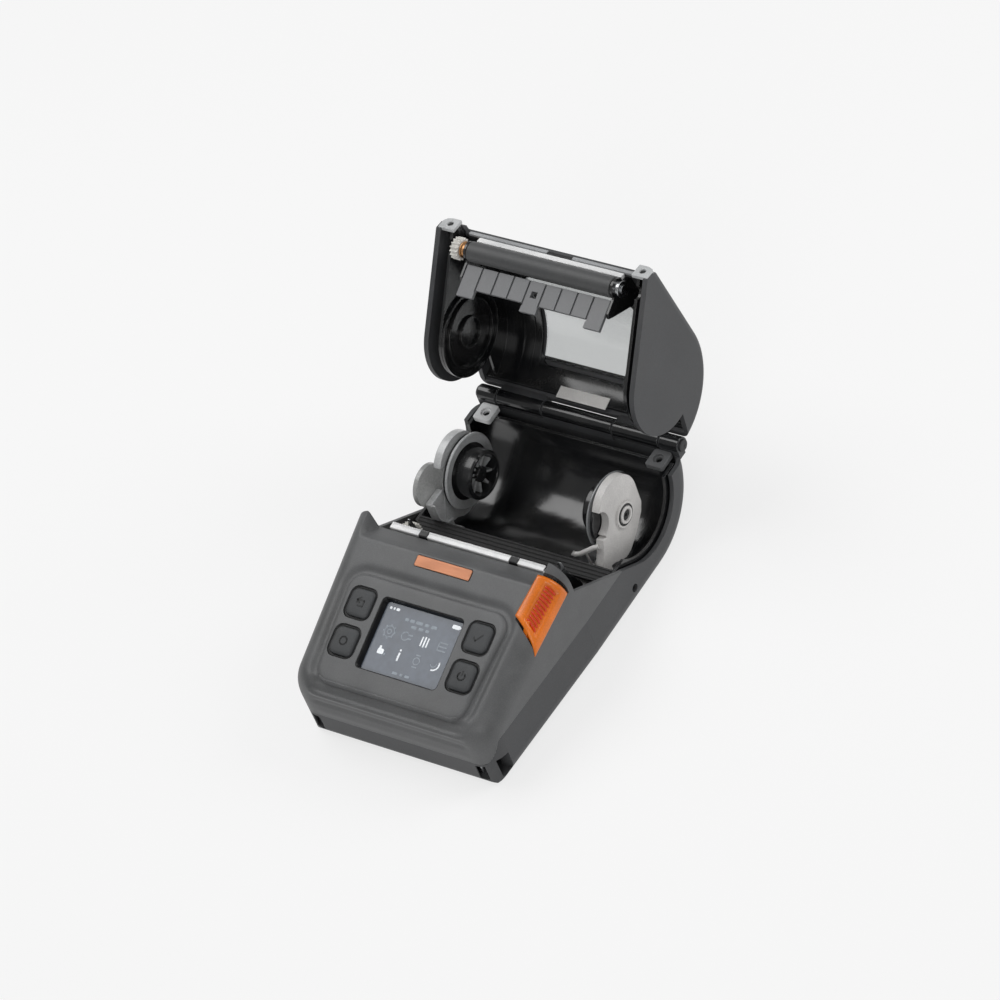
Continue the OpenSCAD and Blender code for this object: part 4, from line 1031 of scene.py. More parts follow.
@dataclass
class FrontCover:
    """The sloped front cover: one soft skin with a moat round the panel and ribs on its front.

    Attributes:
        corner: The rounding of the front corners seen from above.
        shoulder: The shoulder's width and height across the cover.
        nose: The length and the drop of the top's rounding at the front.
        taper: Where the sides begin to draw in, and by how many degrees.
        row_step: The spacing of the skin's rows behind its corners.
        flat_parts: The parts into which the flat top is divided across.
        skirt_levels: The rows of the skirt between the skin and the parting line.
        crown: Where the top ends at the tear bar.
        fall: How steeply the top falls behind its crown, in degrees.
        ear: The half width inside the two raised ears.
        thick: The wall.
        front_part: The parting line's height at the front.
        side_part: The parting line's height along the sides.
        moat: The depth of the moat round the panel, its middle outside the panel and its width.
        ridges: Each rib or groove of the front: its height out of the skin, its z and its width.
        hollow: How deep the front edge under the panel is hollowed.
        window: The width, the length and the corner rounding of the opening under the panel.
        plate: The width, the length and the corner rounding of the bare plate's seat.
        nose_y: The plane of the closed lid's nose.
        lever_gap: The gap round the release lever.
    """

    corner: float = 12.0
    shoulder: Point2 = (11.0, 11.7)
    nose: Point2 = (7.0, 3.5)
    taper: Point2 = (-12.0, 2.0)
    row_step: float = 0.75
    flat_parts: int = 118
    skirt_levels: int = 26
    crown: float = -22.0
    fall: float = 30.0
    ear: float = 49.5
    thick: float = 1.9
    front_part: float = 14.5
    side_part: float = 26.0
    moat: Point3 = (1.25, 1.9, 2.3)
    ridges: tuple = ((-0.75, 25.0, 1.5), (0.35, 30.6, 1.3), (0.3, 18.8, 2.2), (-0.6, 28.0, 1.6))
    hollow: float = 1.5
    window: Point3 = (80.0, 46.0, 6.0)
    plate: Point3 = (31.4, 5.8, 0.9)
    nose_y: float = -10.8
    lever_gap: float = 0.45

    def half(self, y: float) -> float:
        """The half width of the tapered sides behind the corners."""
        start, angle = self.taper
        return SIZE.half_width - max(0.0, start - y) * math.tan(math.radians(angle))

    def top(self, y: float) -> float:
        """The height of the middle of the skin, rounded over at the front."""
        long, drop = self.nose
        t = min(1.0, max(0.0, (y + SIZE.front_y) / long))
        return SIZE.surface_z(y) - drop * (1 - math.sqrt(max(0.0, 1 - (1 - t) ** 2)))

    def part(self, y: float) -> float:
        """The height of the parting line at y."""
        return self.front_part + (self.side_part - self.front_part) * smooth(y, -92.2, -82.0)

    def stations(self) -> list[Point2]:
        """The rows of the skin, front to rear, as y and half width."""
        r = self.corner
        straight = self.half(r - SIZE.front_y) - r
        turns = [math.radians(90 * i / 16) for i in range(17)]
        rows = [(r * (1 - math.cos(a)) - SIZE.front_y, straight + r * math.sin(a)) for a in turns]
        y = r - SIZE.front_y + 0.8
        while y < -8:
            rows.append((y, self.half(y)))
            y += self.row_step
        return rows + [(y, self.half(y)) for y in (-6, -3, 0, 4, 8, 12, 16, 20, 23)]

    def across(self, half: float) -> list[Point2]:
        """A row's points from left to right, as x and the drop below its top."""
        wide, tall = self.shoulder
        arcs = [math.radians(90 * i / 24) for i in range(25)]
        left = [(-half + wide * (1 - math.cos(a)), tall * (1 - math.sin(a))) for a in arcs]
        inside = half - wide
        flat = [(-inside + 2 * inside * i / self.flat_parts, 0.0) for i in range(1, self.flat_parts)]
        return left + flat + [(-x, d) for x, d in reversed(left)]

    def panel_gap(self, x: float, v: float) -> float:
        """The distance of a point of the panel's frame outside its outline."""
        long, r = SIZE.panel_len / 2, SIZE.panel_round
        wide = SIZE.panel_half - SIZE.panel_taper * (long - v) / SIZE.panel_len
        dx, dy = abs(x) - (wide - r), abs(v) - (long - r)
        return math.hypot(max(dx, 0.0), max(dy, 0.0)) + min(max(dx, dy), 0.0) - r

    def sunk(self, p: Vector) -> float:
        """How far a point of the skin is moved along its normal: the moat, the hollow and the ribs."""
        v = (p.y - SIZE.panel_mid) / math.cos(math.radians(SIZE.slope))
        deep, middle, wide = self.moat
        moat = -deep * bump_at(self.panel_gap(p.x, v), middle, wide) * smooth(v, -29.0, -22.0)
        if p.y >= -80.0:
            return moat
        inner = 1 - smooth(abs(p.x), 40.5, 46.0)
        hollow = -self.hollow * smooth(p.z, 31.0, 33.2) * (1 - smooth(v, -27.0, -24.5)) * inner
        rib = sum(high * bump_at(p.z, z, width) for high, z, width in self.ridges)
        return moat + hollow + rib * inner * (1 - smooth(p.y, -90.0, -86.0))

    def row(self, y: float, half: float) -> list[Point3]:
        """The points of one row of the skin, falling away behind the crown between the ears."""
        behind = y - self.crown
        soft = 3
        crest = SIZE.surface_z(self.crown)
        slope = math.tan(math.radians(self.fall))
        points = []
        for x, drop in self.across(half):
            z = self.top(y) - drop
            if behind > -soft:
                edge = 0.35 * max(0.0, 1 - abs(behind) / soft)
                fall = crest - max(0.0, behind) * slope - edge
                z += min(0.0, fall - z) * (1 - smooth(abs(x), self.ear - 1.4, self.ear + 1.2))
            points.append((x, y, max(z, self.part(y) + 0.2)))
        return points

    def skirt(self, shape: Mesher, edge: Sequence[Vert]) -> None:
        """Carries the skin's edge down to the parting line, level by level."""
        above = edge
        for k in range(1, self.skirt_levels + 1):
            drops = [(self.part(v.co.y) - v.co.z) * k / self.skirt_levels for v in edge]
            below = shape.points([[(*v.co.xy, v.co.z + drop) for v, drop in zip(edge, drops)]])[0]
            for i in range(len(edge) - 1):
                shape.bm.faces.new((above[i], below[i], below[i + 1], above[i + 1]))
            above = below

    def skin(self) -> bpy.types.Object:
        """Builds the outer surface, its skirt and its thickness.

        Returns:
            The loose closed shell.
        """
        shape = Mesher()
        grid = shape.grid(self.row(y, half) for y, half in self.stations())
        self.skirt(shape, [row[0] for row in reversed(grid)] + grid[0][1:-1] + [row[-1] for row in grid])
        bmesh.ops.remove_doubles(shape.bm, verts=shape.bm.verts, dist=1e-3)
        bmesh.ops.recalc_face_normals(shape.bm, faces=shape.bm.faces)
        shape.face_towards((0, 0, 1))
        moves = [(v, v.normal * self.sunk(v.co)) for v in shape.bm.verts]
        for v, shift in moves:
            v.co += shift
        trim(shape, self.lid_room())
        trim(shape, self.lever_slot())
        return walled(shape.loose("cover_skin", weld=False), self.thick)

    def lid_room(self) -> list[tuple[Point3, Point3]]:
        """The planes behind which the closed lid sits: its nose and its cheek's lower edge."""
        return [((0, self.nose_y, 0), (0, -1, 0)), ((0, self.nose_y, 46.96), (0, -28.43, -42.15))]

    def lever_slot(self) -> list[tuple[Point3, Point3]]:
        """The four planes of the slot that the release lever fills."""
        gap = self.lever_gap
        a, b, c, d = (46.6 - gap, -38.3), (48.4 - gap, -16.1), (62.5, -13.1), (62.5, -48.0)
        planes = [((*p, 0), (p[1] - q[1], q[0] - p[0], 0)) for p, q in ((a, b), (b, c), (d, a))]
        return planes + [((0, -46, 45.3 - gap), (0, math.tan(math.radians(8.6)), -1))]

    def openings(self) -> list[Mesher]:
        """The shapes that are cut from the skin: the panel's window and the plate's seat."""
        panel = Mesher().prism(rounded(*self.window), Axis.Z, -9, 9)
        seat = Mesher().prism(rounded(*self.plate), Axis.Z, -0.6, 6)
        return [panel.moved(SIZE.on_panel()), seat.moved(self.plate_frame())]

    def plate_frame(self) -> Matrix:
        """The frame of the bare plate's seat, behind the panel."""
        y = self.crown - 2
        turn = Matrix.Rotation(math.radians(SIZE.slope), 4, "X")
        return Matrix.Translation((0, y, SIZE.surface_z(y))) @ turn @ Matrix.Translation((0, -2, 0))

    def build(self) -> None:
        """Makes the cover in place of its plain node."""
        made = settle(carve(self.skin(), self.openings()), Body.CHASSIS, Finishes.COVER, sharp=38)
        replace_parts(made, "front_cover")


# Control panel


def bar(shape: Mesher, x: float, y: float, width: float, height: float) -> None:
    """Adds a flat mark with softened corners, for the display."""
    outline = rounded(width, height, min(width, height) * 0.24, 2, centre=(x, y))
    shape.prism(outline, Axis.Z, 0, 0.03)


def hoop(shape: Mesher, x: float, y: float, radius: float, wide: float, start: float = 0,
         end: float = 360) -> None:
    """Adds a flat ring or a part of one between two angles in degrees, for the display."""
    inner, outer = (arc((x, y), r, start, end, 24) for r in (radius - wide, radius))
    for i in range(24):
        shape.prism([outer[i], outer[i + 1], inner[i + 1], inner[i]], Axis.Z, 0, 0.03)


def stroke(shape: Mesher, points: Sequence[Point2], wide: float = 0.75) -> None:
    """Adds a raised line along some points, for a key's sign."""
    for p, q in zip(points, points[1:]):
        run = (Vector(q) - Vector(p)).normalized()
        side = Vector((-run.y, run.x)) * wide / 2
        tip = run * wide * 0.3
        a, b = Vector(p) - tip, Vector(q) + tip
        shape.prism([tuple(a - side), tuple(b - side), tuple(b + side), tuple(a + side)], Axis.Z, 0, 0.1)


@dataclass
class ControlPanel:
    """The raised pad with its recessed display and four keys.

    Attributes:
        glass: The display opening's width and height.
        glass_v: The display's middle up the slope.
        key: A key's width and length.
        key_x: The keys' distance from the middle.
        key_v: The two rows of keys up the slope.
        columns: The places of the four columns of icons across the display.
    """

    glass: Point2 = (46.0, 35.5)
    glass_v: float = 1.5
    key: Point2 = (12.3, 13.3)
    key_x: float = 33.25
    key_v: Point2 = (-6.3, 12.7)
    columns: tuple = (-15.0, -5.2, 4.8, 14.8)

    def outline(self, grow: float) -> list[Point2]:
        """The pad's tapered outline, grown by a distance."""
        r = SIZE.panel_round
        points = []
        for sx, sy, start in corners():
            cx = sx * (SIZE.panel_half - r - (SIZE.panel_taper if sy < 0 else 0))
            points += arc((cx, sy * (SIZE.panel_len / 2 - r)), r + grow, start, start + 90, 10)
        return points

    def round_key(self, grow: float, radius: float, at: Point2) -> list[Point2]:
        """The outline round a key, wider and longer than the key by a distance."""
        return rounded(self.key[0] + grow, self.key[1] + grow, radius, centre=at)

    def key_spots(self) -> list[Point2]:
        """The middles of the four keys."""
        return [(sx * self.key_x, v) for sx in (-1, 1) for v in self.key_v]

    def slab(self, less: float, radius: float, low: float, high: float) -> Mesher:
        """Makes a slab a little smaller than the display's opening."""
        w, h = self.glass
        outline = rounded(w - less, h - less, radius, centre=(0, self.glass_v))
        return Mesher().prism(outline, Axis.Z, low, high)

    def pad(self) -> None:
        """Makes the pad: a soft flank, a slight crown and the openings."""
        shape = Mesher()
        flank = ((0.6, -2.6), (0.35, -0.6), (0.0, 0.35))
        crown = ((-0.35, 0.85), (-0.9, 1.14), (-1.8, 1.25), (-4.0, 1.3))
        shape.loft([[(x, y, z) for x, y in self.outline(grow)] for grow, z in flank + crown])
        holes = [Mesher().prism(self.round_key(2.9, 4.4, at), Axis.Z, -9, 9) for at in self.key_spots()]
        body = carve(shape.loose("panel_pad"), [self.slab(0.0, 2.5, -9, 9), *holes])
        body.data.transform(metres(SIZE.on_panel()))
        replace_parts(settle(body, Body.CHASSIS, Finishes.PAD, sharp=35), "control_panel")

    def ledge(self) -> None:
        """Makes the crisp ledge along the pad's front edge."""
        shape = Mesher()
        run = SIZE.panel_half - SIZE.panel_taper - 6
        middle = [(-run + 2 * run * i / 12, -25.9, 0.82) for i in range(13)]
        shape.tube([(-run - 3, -24.6, 0.5), *middle, (run + 3, -24.6, 0.5)], 0.5, 8)
        shape.piece("panel_ledge", Body.CHASSIS, Finishes.PAD, bevel=0, matrix=SIZE.on_panel())

    def screen(self) -> None:
        """Makes the black well, the lit glass and the module behind it."""
        frame_m = SIZE.on_panel()
        (w, h), v = self.glass, self.glass_v
        well = Mesher()
        outer = rounded(w - 0.3, h - 0.3, 2.4, centre=(0, v))
        crest = rounded(w - 1.1, h - 1.1, 2.0, centre=(0, v))
        inner = rounded(w - 2.6, h - 2.2, 1.4, centre=(0.3, v - 0.3))
        lines = ((outer, -3.6), (outer, 0.9), (crest, 0.7), (inner, -1.5), (inner, -3.6))
        well.loft([[(x, y, z) for x, y in line] for line, z in lines], loop=True)
        well.piece("display_well", Body.CHASSIS, Finishes.WELL, bevel=0, matrix=frame_m)
        glass = self.slab(1.4, 1.8, -2.6, -1.7)
        lens = glass.piece("display_glass", Body.CHASSIS, Finishes.SCREEN, bevel=0.1, matrix=frame_m)
        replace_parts(lens, "display_lens")
        back = self.slab(1.6, 1.0, -6.0, -2.7)
        back.prism(rounded(w + 4, h + 5, 1.0, centre=(0, v)), Axis.Z, -7.6, -6.1)
        for k in range(12):
            contact = rounded(0.5, 2.2, 0.1, 1, centre=(-11 + 2 * k, v - h / 2 - 0.4))
            back.prism(contact, Axis.Z, -6.1, -5.4)
        module = back.piece("display_backlight", Body.CHASSIS, Finishes.MODULE, bevel=0.15, matrix=frame_m)
        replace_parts(module, "display_module")

    def lines(self, pale: Mesher, faint: Mesher) -> None:
        """Draws the status dots, the battery and plain bars in place of text."""
        rows = (
            (pale, 14.2, 1.2, ((-19.2, 1.2), (-17.3, 0.8), (-15.2, 1.9))),
            (pale, 14.0, 1.9, ((17.6, 4.2),)),
            (pale, 14.0, 0.9, ((20.0, 0.5),)),
            (faint, 10.9, 1.5, ((-8.6, 2.2), (-5.6, 2.6), (-1.6, 3.8), (2.6, 2.4), (6.6, 3.2))),
            (faint, 8.3, 1.3, ((-3.6, 3.0), (0.4, 2.6), (4.0, 2.0))),
            (faint, -14.3, 1.2, ((-3.4, 2.8), (0.2, 1.6), (3.4, 2.6))),
        )
        for shape, y, height, words in rows:
            for x, width in words:
                bar(shape, x, y, width, height)

    def upper_icons(self, pale: Mesher, faint: Mesher) -> None:
        """Draws the upper row: a cog, an open ring with two bars, three bars and a framed list."""
        cog, plug, levels, menu = self.columns
        mid = 3.4
        hoop(faint, cog, mid, 2.9, 0.5)
        hoop(faint, cog, mid, 1.3, 0.5)
        for x, y in arc((cog, mid), 3.1, 0, 315, 7):
            bar(faint, x, y, 0.8, 0.8)
        hoop(faint, plug - 0.9, mid, 2.2, 0.5, 30, 330)
        bar(faint, plug + 1.7, 4.4, 2.8, 0.7)
        bar(faint, plug + 1.7, 2.6, 2.0, 0.7)
        for dx, height in ((-1.5, 4.6), (0.1, 5.2), (1.7, 4.6)):
            bar(pale, levels + dx, 3.3, 0.75, height)
        for dy in (1.9, 0.0, -1.9):
            bar(faint, menu, mid + dy, 4.8, 0.6)
        bar(faint, menu - 2.2, mid, 0.6, 4.4)

    def lower_icons(self, pale: Mesher, faint: Mesher) -> None:
        """Draws the lower row: a block with a tab, a bar with a dot, a ring between bars and two arcs."""
        block, info, ring, bow = self.columns
        bar(pale, block - 0.3, -6.4, 3.4, 2.6)
        bar(pale, block - 1.0, -4.5, 1.2, 1.4)
        bar(faint, block + 2.2, -7.2, 0.9, 1.2)
        bar(pale, info, -6.6, 0.95, 4.2)
        bar(pale, info, -3.4, 0.95, 1.0)
        hoop(faint, ring, -6.2, 1.9, 0.5)
        bar(faint, ring, -3.4, 2.6, 0.6)
        bar(faint, ring, -9.1, 2.6, 0.6)
        hoop(pale, bow - 0.8, -5.0, 3.4, 0.7, 265, 385)
        hoop(faint, bow - 0.8, -5.0, 1.8, 0.45, 200, 380)

    def marks(self) -> None:
        """Draws the generic marks of the display, bright and faint ones."""
        frame_m = SIZE.on_panel() @ Matrix.Translation((0.5, self.glass_v - 0.3, -1.66))
        pale, faint = Mesher(), Mesher()
        self.lines(pale, faint)
        self.upper_icons(pale, faint)
        self.lower_icons(pale, faint)
        pale.piece("screen_marks", Body.CHASSIS, Finishes.MARK, bevel=0, matrix=frame_m)
        faint.piece("screen_marks_faint", Body.CHASSIS, Finishes.FAINT, bevel=0, matrix=frame_m)

    def frame_ring(self, shape: Mesher, outer: Sequence[Point2], inner: Sequence[Point2], lo: float,
                   hi: float) -> None:
        """Adds a flat ring between two outlines with the same number of points."""
        lines = ((outer, lo), (outer, hi), (inner, hi), (inner, lo))
        shape.loft([[(x, y, z) for x, y in line] for line, z in lines], loop=True)

    def web(self) -> None:
        """Makes the black rubber web whose rims stand round the keys."""
        shape = Mesher()
        spots = self.key_spots()
        for column in (spots[:2], spots[2:]):
            for at in column:
                rim, seat = self.round_key(2.6, 4.2, at), self.round_key(0.5, 3.4, at)
                self.frame_ring(shape, rim, seat, -1.6, 0.55)
            middle = (column[0][0], sum(self.key_v) / 2)
            outer = rounded(self.key[0] + 3.6, 35.6, 3.0, centre=middle)
            inner = rounded(self.key[0] + 0.6, 32.6, 3.0, centre=middle)
            self.frame_ring(shape, outer, inner, -1.7, -1.0)
        matrix = SIZE.on_panel()
        made = shape.piece("keypad_web", Body.CHASSIS, Finishes.RUBBER_BLACK, bevel=0.25, matrix=matrix)
        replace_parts(made, "keypad_gasket")

    def key_top(self, word: str, sx: int, v: float, sign: Sequence[Sequence[Point2]]) -> None:
        """Makes one key with a pillowed top, rounder on its outer side, and its plain sign.

        Args:
            word: What the key is called.
            sx: 1 for the right column and -1 for the left one.
            v: Where it sits up the slope.
            sign: The lines of its sign.
        """
        w, h = self.key
        flank = ((0.5, -1.6), (0.5, -1.0), (0.0, -0.9), (0.0, 1.25))
        pillow = ((-0.25, 1.7), (-0.75, 1.98), (-1.6, 2.1), (-3.4, 2.16))
        rings = []
        for grow, z in flank + pillow:
            ring = []
            for cx, cy, start in corners():
                r = (3.3 + min(0.0, grow) * 0.6) * (1.0 if cx * sx > 0 else 0.72)
                spot = (cx * (w / 2 + grow - r), cy * (h / 2 + grow - r))
                ring += [(a, b, z) for a, b in arc(spot, r, start, start + 90, 7)]
            rings.append(ring)
        shape = Mesher().loft(rings)
        at = SIZE.on_panel() @ Matrix.Translation((sx * self.key_x, v, 0))
        name, body = f"{word}_key_cap", Body(f"{word}_key")
        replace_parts(shape.piece(name, body, Finishes.KEY, bevel=0, matrix=at, sharp=50), f"button_{word}")
        raised = Mesher()
        for points in sign:
            stroke(raised, points)
        lifted = at @ Matrix.Translation((0, 0, 2.12))
        raised.piece(f"{name}_sign", body, Finishes.SIGN, bevel=0, matrix=lifted)

    def keys(self) -> None:
        """Makes the four keys: back arrow, ring, tick and power sign."""
        low, high = self.key_v
        arrow = ([(2.2, 1.2), (-1.4, 1.2), (-1.4, -0.2)], [(0.0, 2.6), (-1.7, 1.2), (0.0, -0.2)],
                 [(2.2, 1.2), (2.2, -1.6), (-0.6, -1.6)])
        self.key_top("back", -1, high, arrow)
        self.key_top("ring", -1, low, [arc((0, 0), 1.9, 0, 360, 18)])
        self.key_top("accept", 1, high, [[(-2.0, -0.3), (-0.6, -1.7), (2.2, 1.7)]])
        self.key_top("power", 1, low, [arc((0, 0), 1.9, -230, 50, 18), [(0, 0.4), (0, 2.4)]])

    def build(self) -> None:
        """Makes the whole panel."""
        self.pad()
        self.ledge()
        self.screen()
        self.marks()
        self.web()
        self.keys()


# Release lever


@dataclass
class ReleaseLever:
    """The orange lever wrapped round the right shoulder, with a ribbed hollow.

    Attributes:
        cover: The cover whose shoulder it follows.
        proud: How far its rim stands over the cover.
        thick: Its wall.
        sink: How deep the hollow lies under the rim.
        ribs: How many ribs lie in the hollow.
        lean: How far the top's normal leans to the front.
        pivot: The pivot's y and z.
    """

    cover: FrontCover = field(default_factory=FrontCover)
    proud: float = 1.0
    thick: float = 2.2
    sink: float = 1.3
    ribs: int = 10
    lean: float = -0.34
    pivot: Point2 = (-42.5, 46.4)

    def on_shoulder(self, y: float, arc_mm: float) -> tuple[Vector, Vector]:
        """A point of the cover's right shoulder and its outward normal.

        Args:
            y: Where along the printer.
            arc_mm: How far round the shoulder from where the flat top ends.

        Returns:
            The point and the normal.
        """
        wide, tall = self.cover.shoulder
        half = self.cover.half(y)
        top = self.cover.top(y)
        quarter = math.pi / 2 * (wide + tall) / 2
        if arc_mm < 0:
            return Vector((half - wide + arc_mm, y, top)), Vector((0, self.lean, 0.94))
        if arc_mm < quarter:
            a = math.pi / 2 * arc_mm / quarter
            spot = Vector((half - wide + wide * math.sin(a), y, top - tall + tall * math.cos(a)))
            out = Vector((math.sin(a) / wide, 0, math.cos(a) / tall)).normalized()
            return spot, (out + Vector((0, self.lean * out.z, 0))).normalized()
        return Vector((half, y, top - tall - (arc_mm - quarter))), Vector((1, 0, 0))

    def corner(self, across: float, along: float) -> Point2:
        """The y and the distance round the shoulder of a point of the lever.

        Args:
            across: 0 at the lever's inner edge, 1 at its lower edge.
            along: 0 at the front, 1 at the rear.

        Returns:
            The y and the arc length.
        """
        inner = (-36.9 + 19.6 * along, -1.5 + 1.9 * along)
        outer = (-46.4 + 31.4 * along, 16.2 + 2.2 * along)
        return inner[0] + (outer[0] - inner[0]) * across, inner[1] + (outer[1] - inner[1]) * across

    def lift(self, across: float, along: float) -> float:
        """How high the surface stands over the cover there."""
        edge = min(across, 1 - across) * 19
        end = min(along, 1 - along) * 27
        rim = self.proud * smooth(min(edge, end), -0.4, 1.2)
        lane = 1 - smooth(abs(across - 0.5), 0.17, 0.25)
        return rim - self.sink * lane * smooth(end, 2.4, 4.2)

    def raised(self, across: float, along: float) -> Point3:
        """A point of the lever's outer face."""
        spot, out = self.on_shoulder(*self.corner(across, along))
        return tuple(spot + out * self.lift(across, along))

    def shell(self) -> None:
        """Builds the lever's outer face, gives it a wall, and puts it on its body."""
        shape = Mesher()
        n, m = 44, 60
        shape.grid([self.raised(i / n, j / m) for j in range(m + 1)] for i in range(n + 1))
        shape.face_towards((1, 0, 1))
        mesh = shape.mesh("lever_shell", weld=False)
        made = walled(place("lever_shell", mesh, Body.LEVER, Finishes.ORANGE, sharp=50), self.thick)
        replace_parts(made, "release_lever")

    def rib(self, along: float) -> list[list[Point3]]:
        """The rings of one rib, laid across the lane and rounded over its length."""
        rings = []
        for i in range(9):
            y, s = self.corner(0.335 + 0.33 * i / 8, along)
            spot, out = self.on_shoulder(y, s)
            step = (self.on_shoulder(y + 0.5, s + 0.05)[0] - spot).normalized()
            base = spot + out * (self.proud - self.sink - 0.3)
            high = 0.95 * math.sqrt(max(0.05, 1 - ((i - 4) / 4.2) ** 2)) + 0.25
            profile = ((-0.62, 0), (-0.42, high), (0, high + 0.12), (0.42, high), (0.62, 0))
            rings.append([tuple(base + step * a + out * b) for a, b in profile])
        return rings

    def grip(self) -> None:
        """Makes the ribs in the hollow."""
        shape = Mesher()
        for k in range(self.ribs):
            shape.loft(self.rib(0.17 + 0.66 * k / (self.ribs - 1)))
        shape.piece("lever_ribs", Body.LEVER, Finishes.RIBS, bevel=0, sharp=40)

    def boss(self) -> None:
        """Makes the pivot boss and the arm that joins it to the shell."""
        shape = Mesher().lathe([(50.9, 1.1), (50.9, 2.6), (53.6, 2.6), (53.6, 1.1)], self.pivot, 32)
        shape.prism([(-43.3, 48.6), (-40.4, 47.6), (-35.2, 51.8), (-37.4, 54.0)], Axis.X, 51.2, 53.4)
        shape.piece("lever_boss", Body.LEVER, Finishes.ORANGE, bevel=0.2)

    def build(self) -> None:
        """Makes the lever in place of its plain node."""
        self.shell()
        self.grip()
        self.boss()


# Tear bar

SIDES = ((1, "right"), (-1, "left"))


@dataclass
class TearBar:
    """The bright saw-edged bar behind the cover, held by dark clips.

    Attributes:
        half: Half its length, in mm.
        y: Its front face.
        low: Its lower edge.
        high: The foot of its teeth.
        clips: The clips' places along X.
        clip_half: Half a clip's width.
        pitch: The distance from tooth to tooth.
    """

    half: float = 43.1
    y: float = -9.6
    low: float = 48.8
    high: float = 54.0
    clips: Point2 = (-24.2, 26.6)
    clip_half: float = 2.3
    pitch: float = 1.0

    def section(self, *spots: Point2) -> list[Point2]:
        """An outline whose points are given from the front face and from the foot of the teeth."""
        return [(self.y + y, self.high + z) for y, z in spots]

    def bar(self) -> None:
        """Makes the folded strip: a front wall and a flange with a raised lip."""
        foot = self.low - self.high
        outline = self.section((0, foot), (1.2, foot), (1.2, -0.5), (3.0, -0.5), (3.0, 0.35), (2.3, 0.35),
                               (2.1, 0), (0.3, 0), (0, -0.3))
        shape = Mesher().prism(outline, Axis.X, -self.half, self.half)
        made = shape.piece("tear_bar_strip", Body.CHASSIS, Finishes.STRIP, bevel=0.12)
        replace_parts(made, "tear_bar")

    def teeth(self) -> None:
        """Sets the saw teeth along the lip."""
        shape = Mesher().prism([(-0.42, 0.0), (0.42, 0.0), (0.0, 0.45)], Axis.Y, 0.0, 0.5)
        count = int(2 * self.half / self.pitch)
        start = (-self.half + self.pitch / 2, self.y + 2.4, self.high + 0.3)
        step = (self.pitch, 0, 0)
        repeat("tear_bar_teeth", shape, Body.CHASSIS, Finishes.STRIP, count, step=step, start=start)

    def clip(self, word: str, x: float) -> None:
        """Makes one dark clip at a place along X."""
        outline = self.section((-0.35, -2.6), (3.2, -2.6), (3.2, 0.75), (0.1, 0.5), (-0.35, 0))
        shape = Mesher().prism(outline, Axis.X, x - self.clip_half, x + self.clip_half)
        shape.piece(f"{word}_bar_clip", Body.CHASSIS, Finishes.SOFT, bevel=0.2)

    def build(self) -> None:
        """Makes the bar, its teeth and its clips."""
        self.bar()
        self.teeth()
        for word, x in zip(("left", "right"), self.clips):
            self.clip(word, x)


# Roll holders


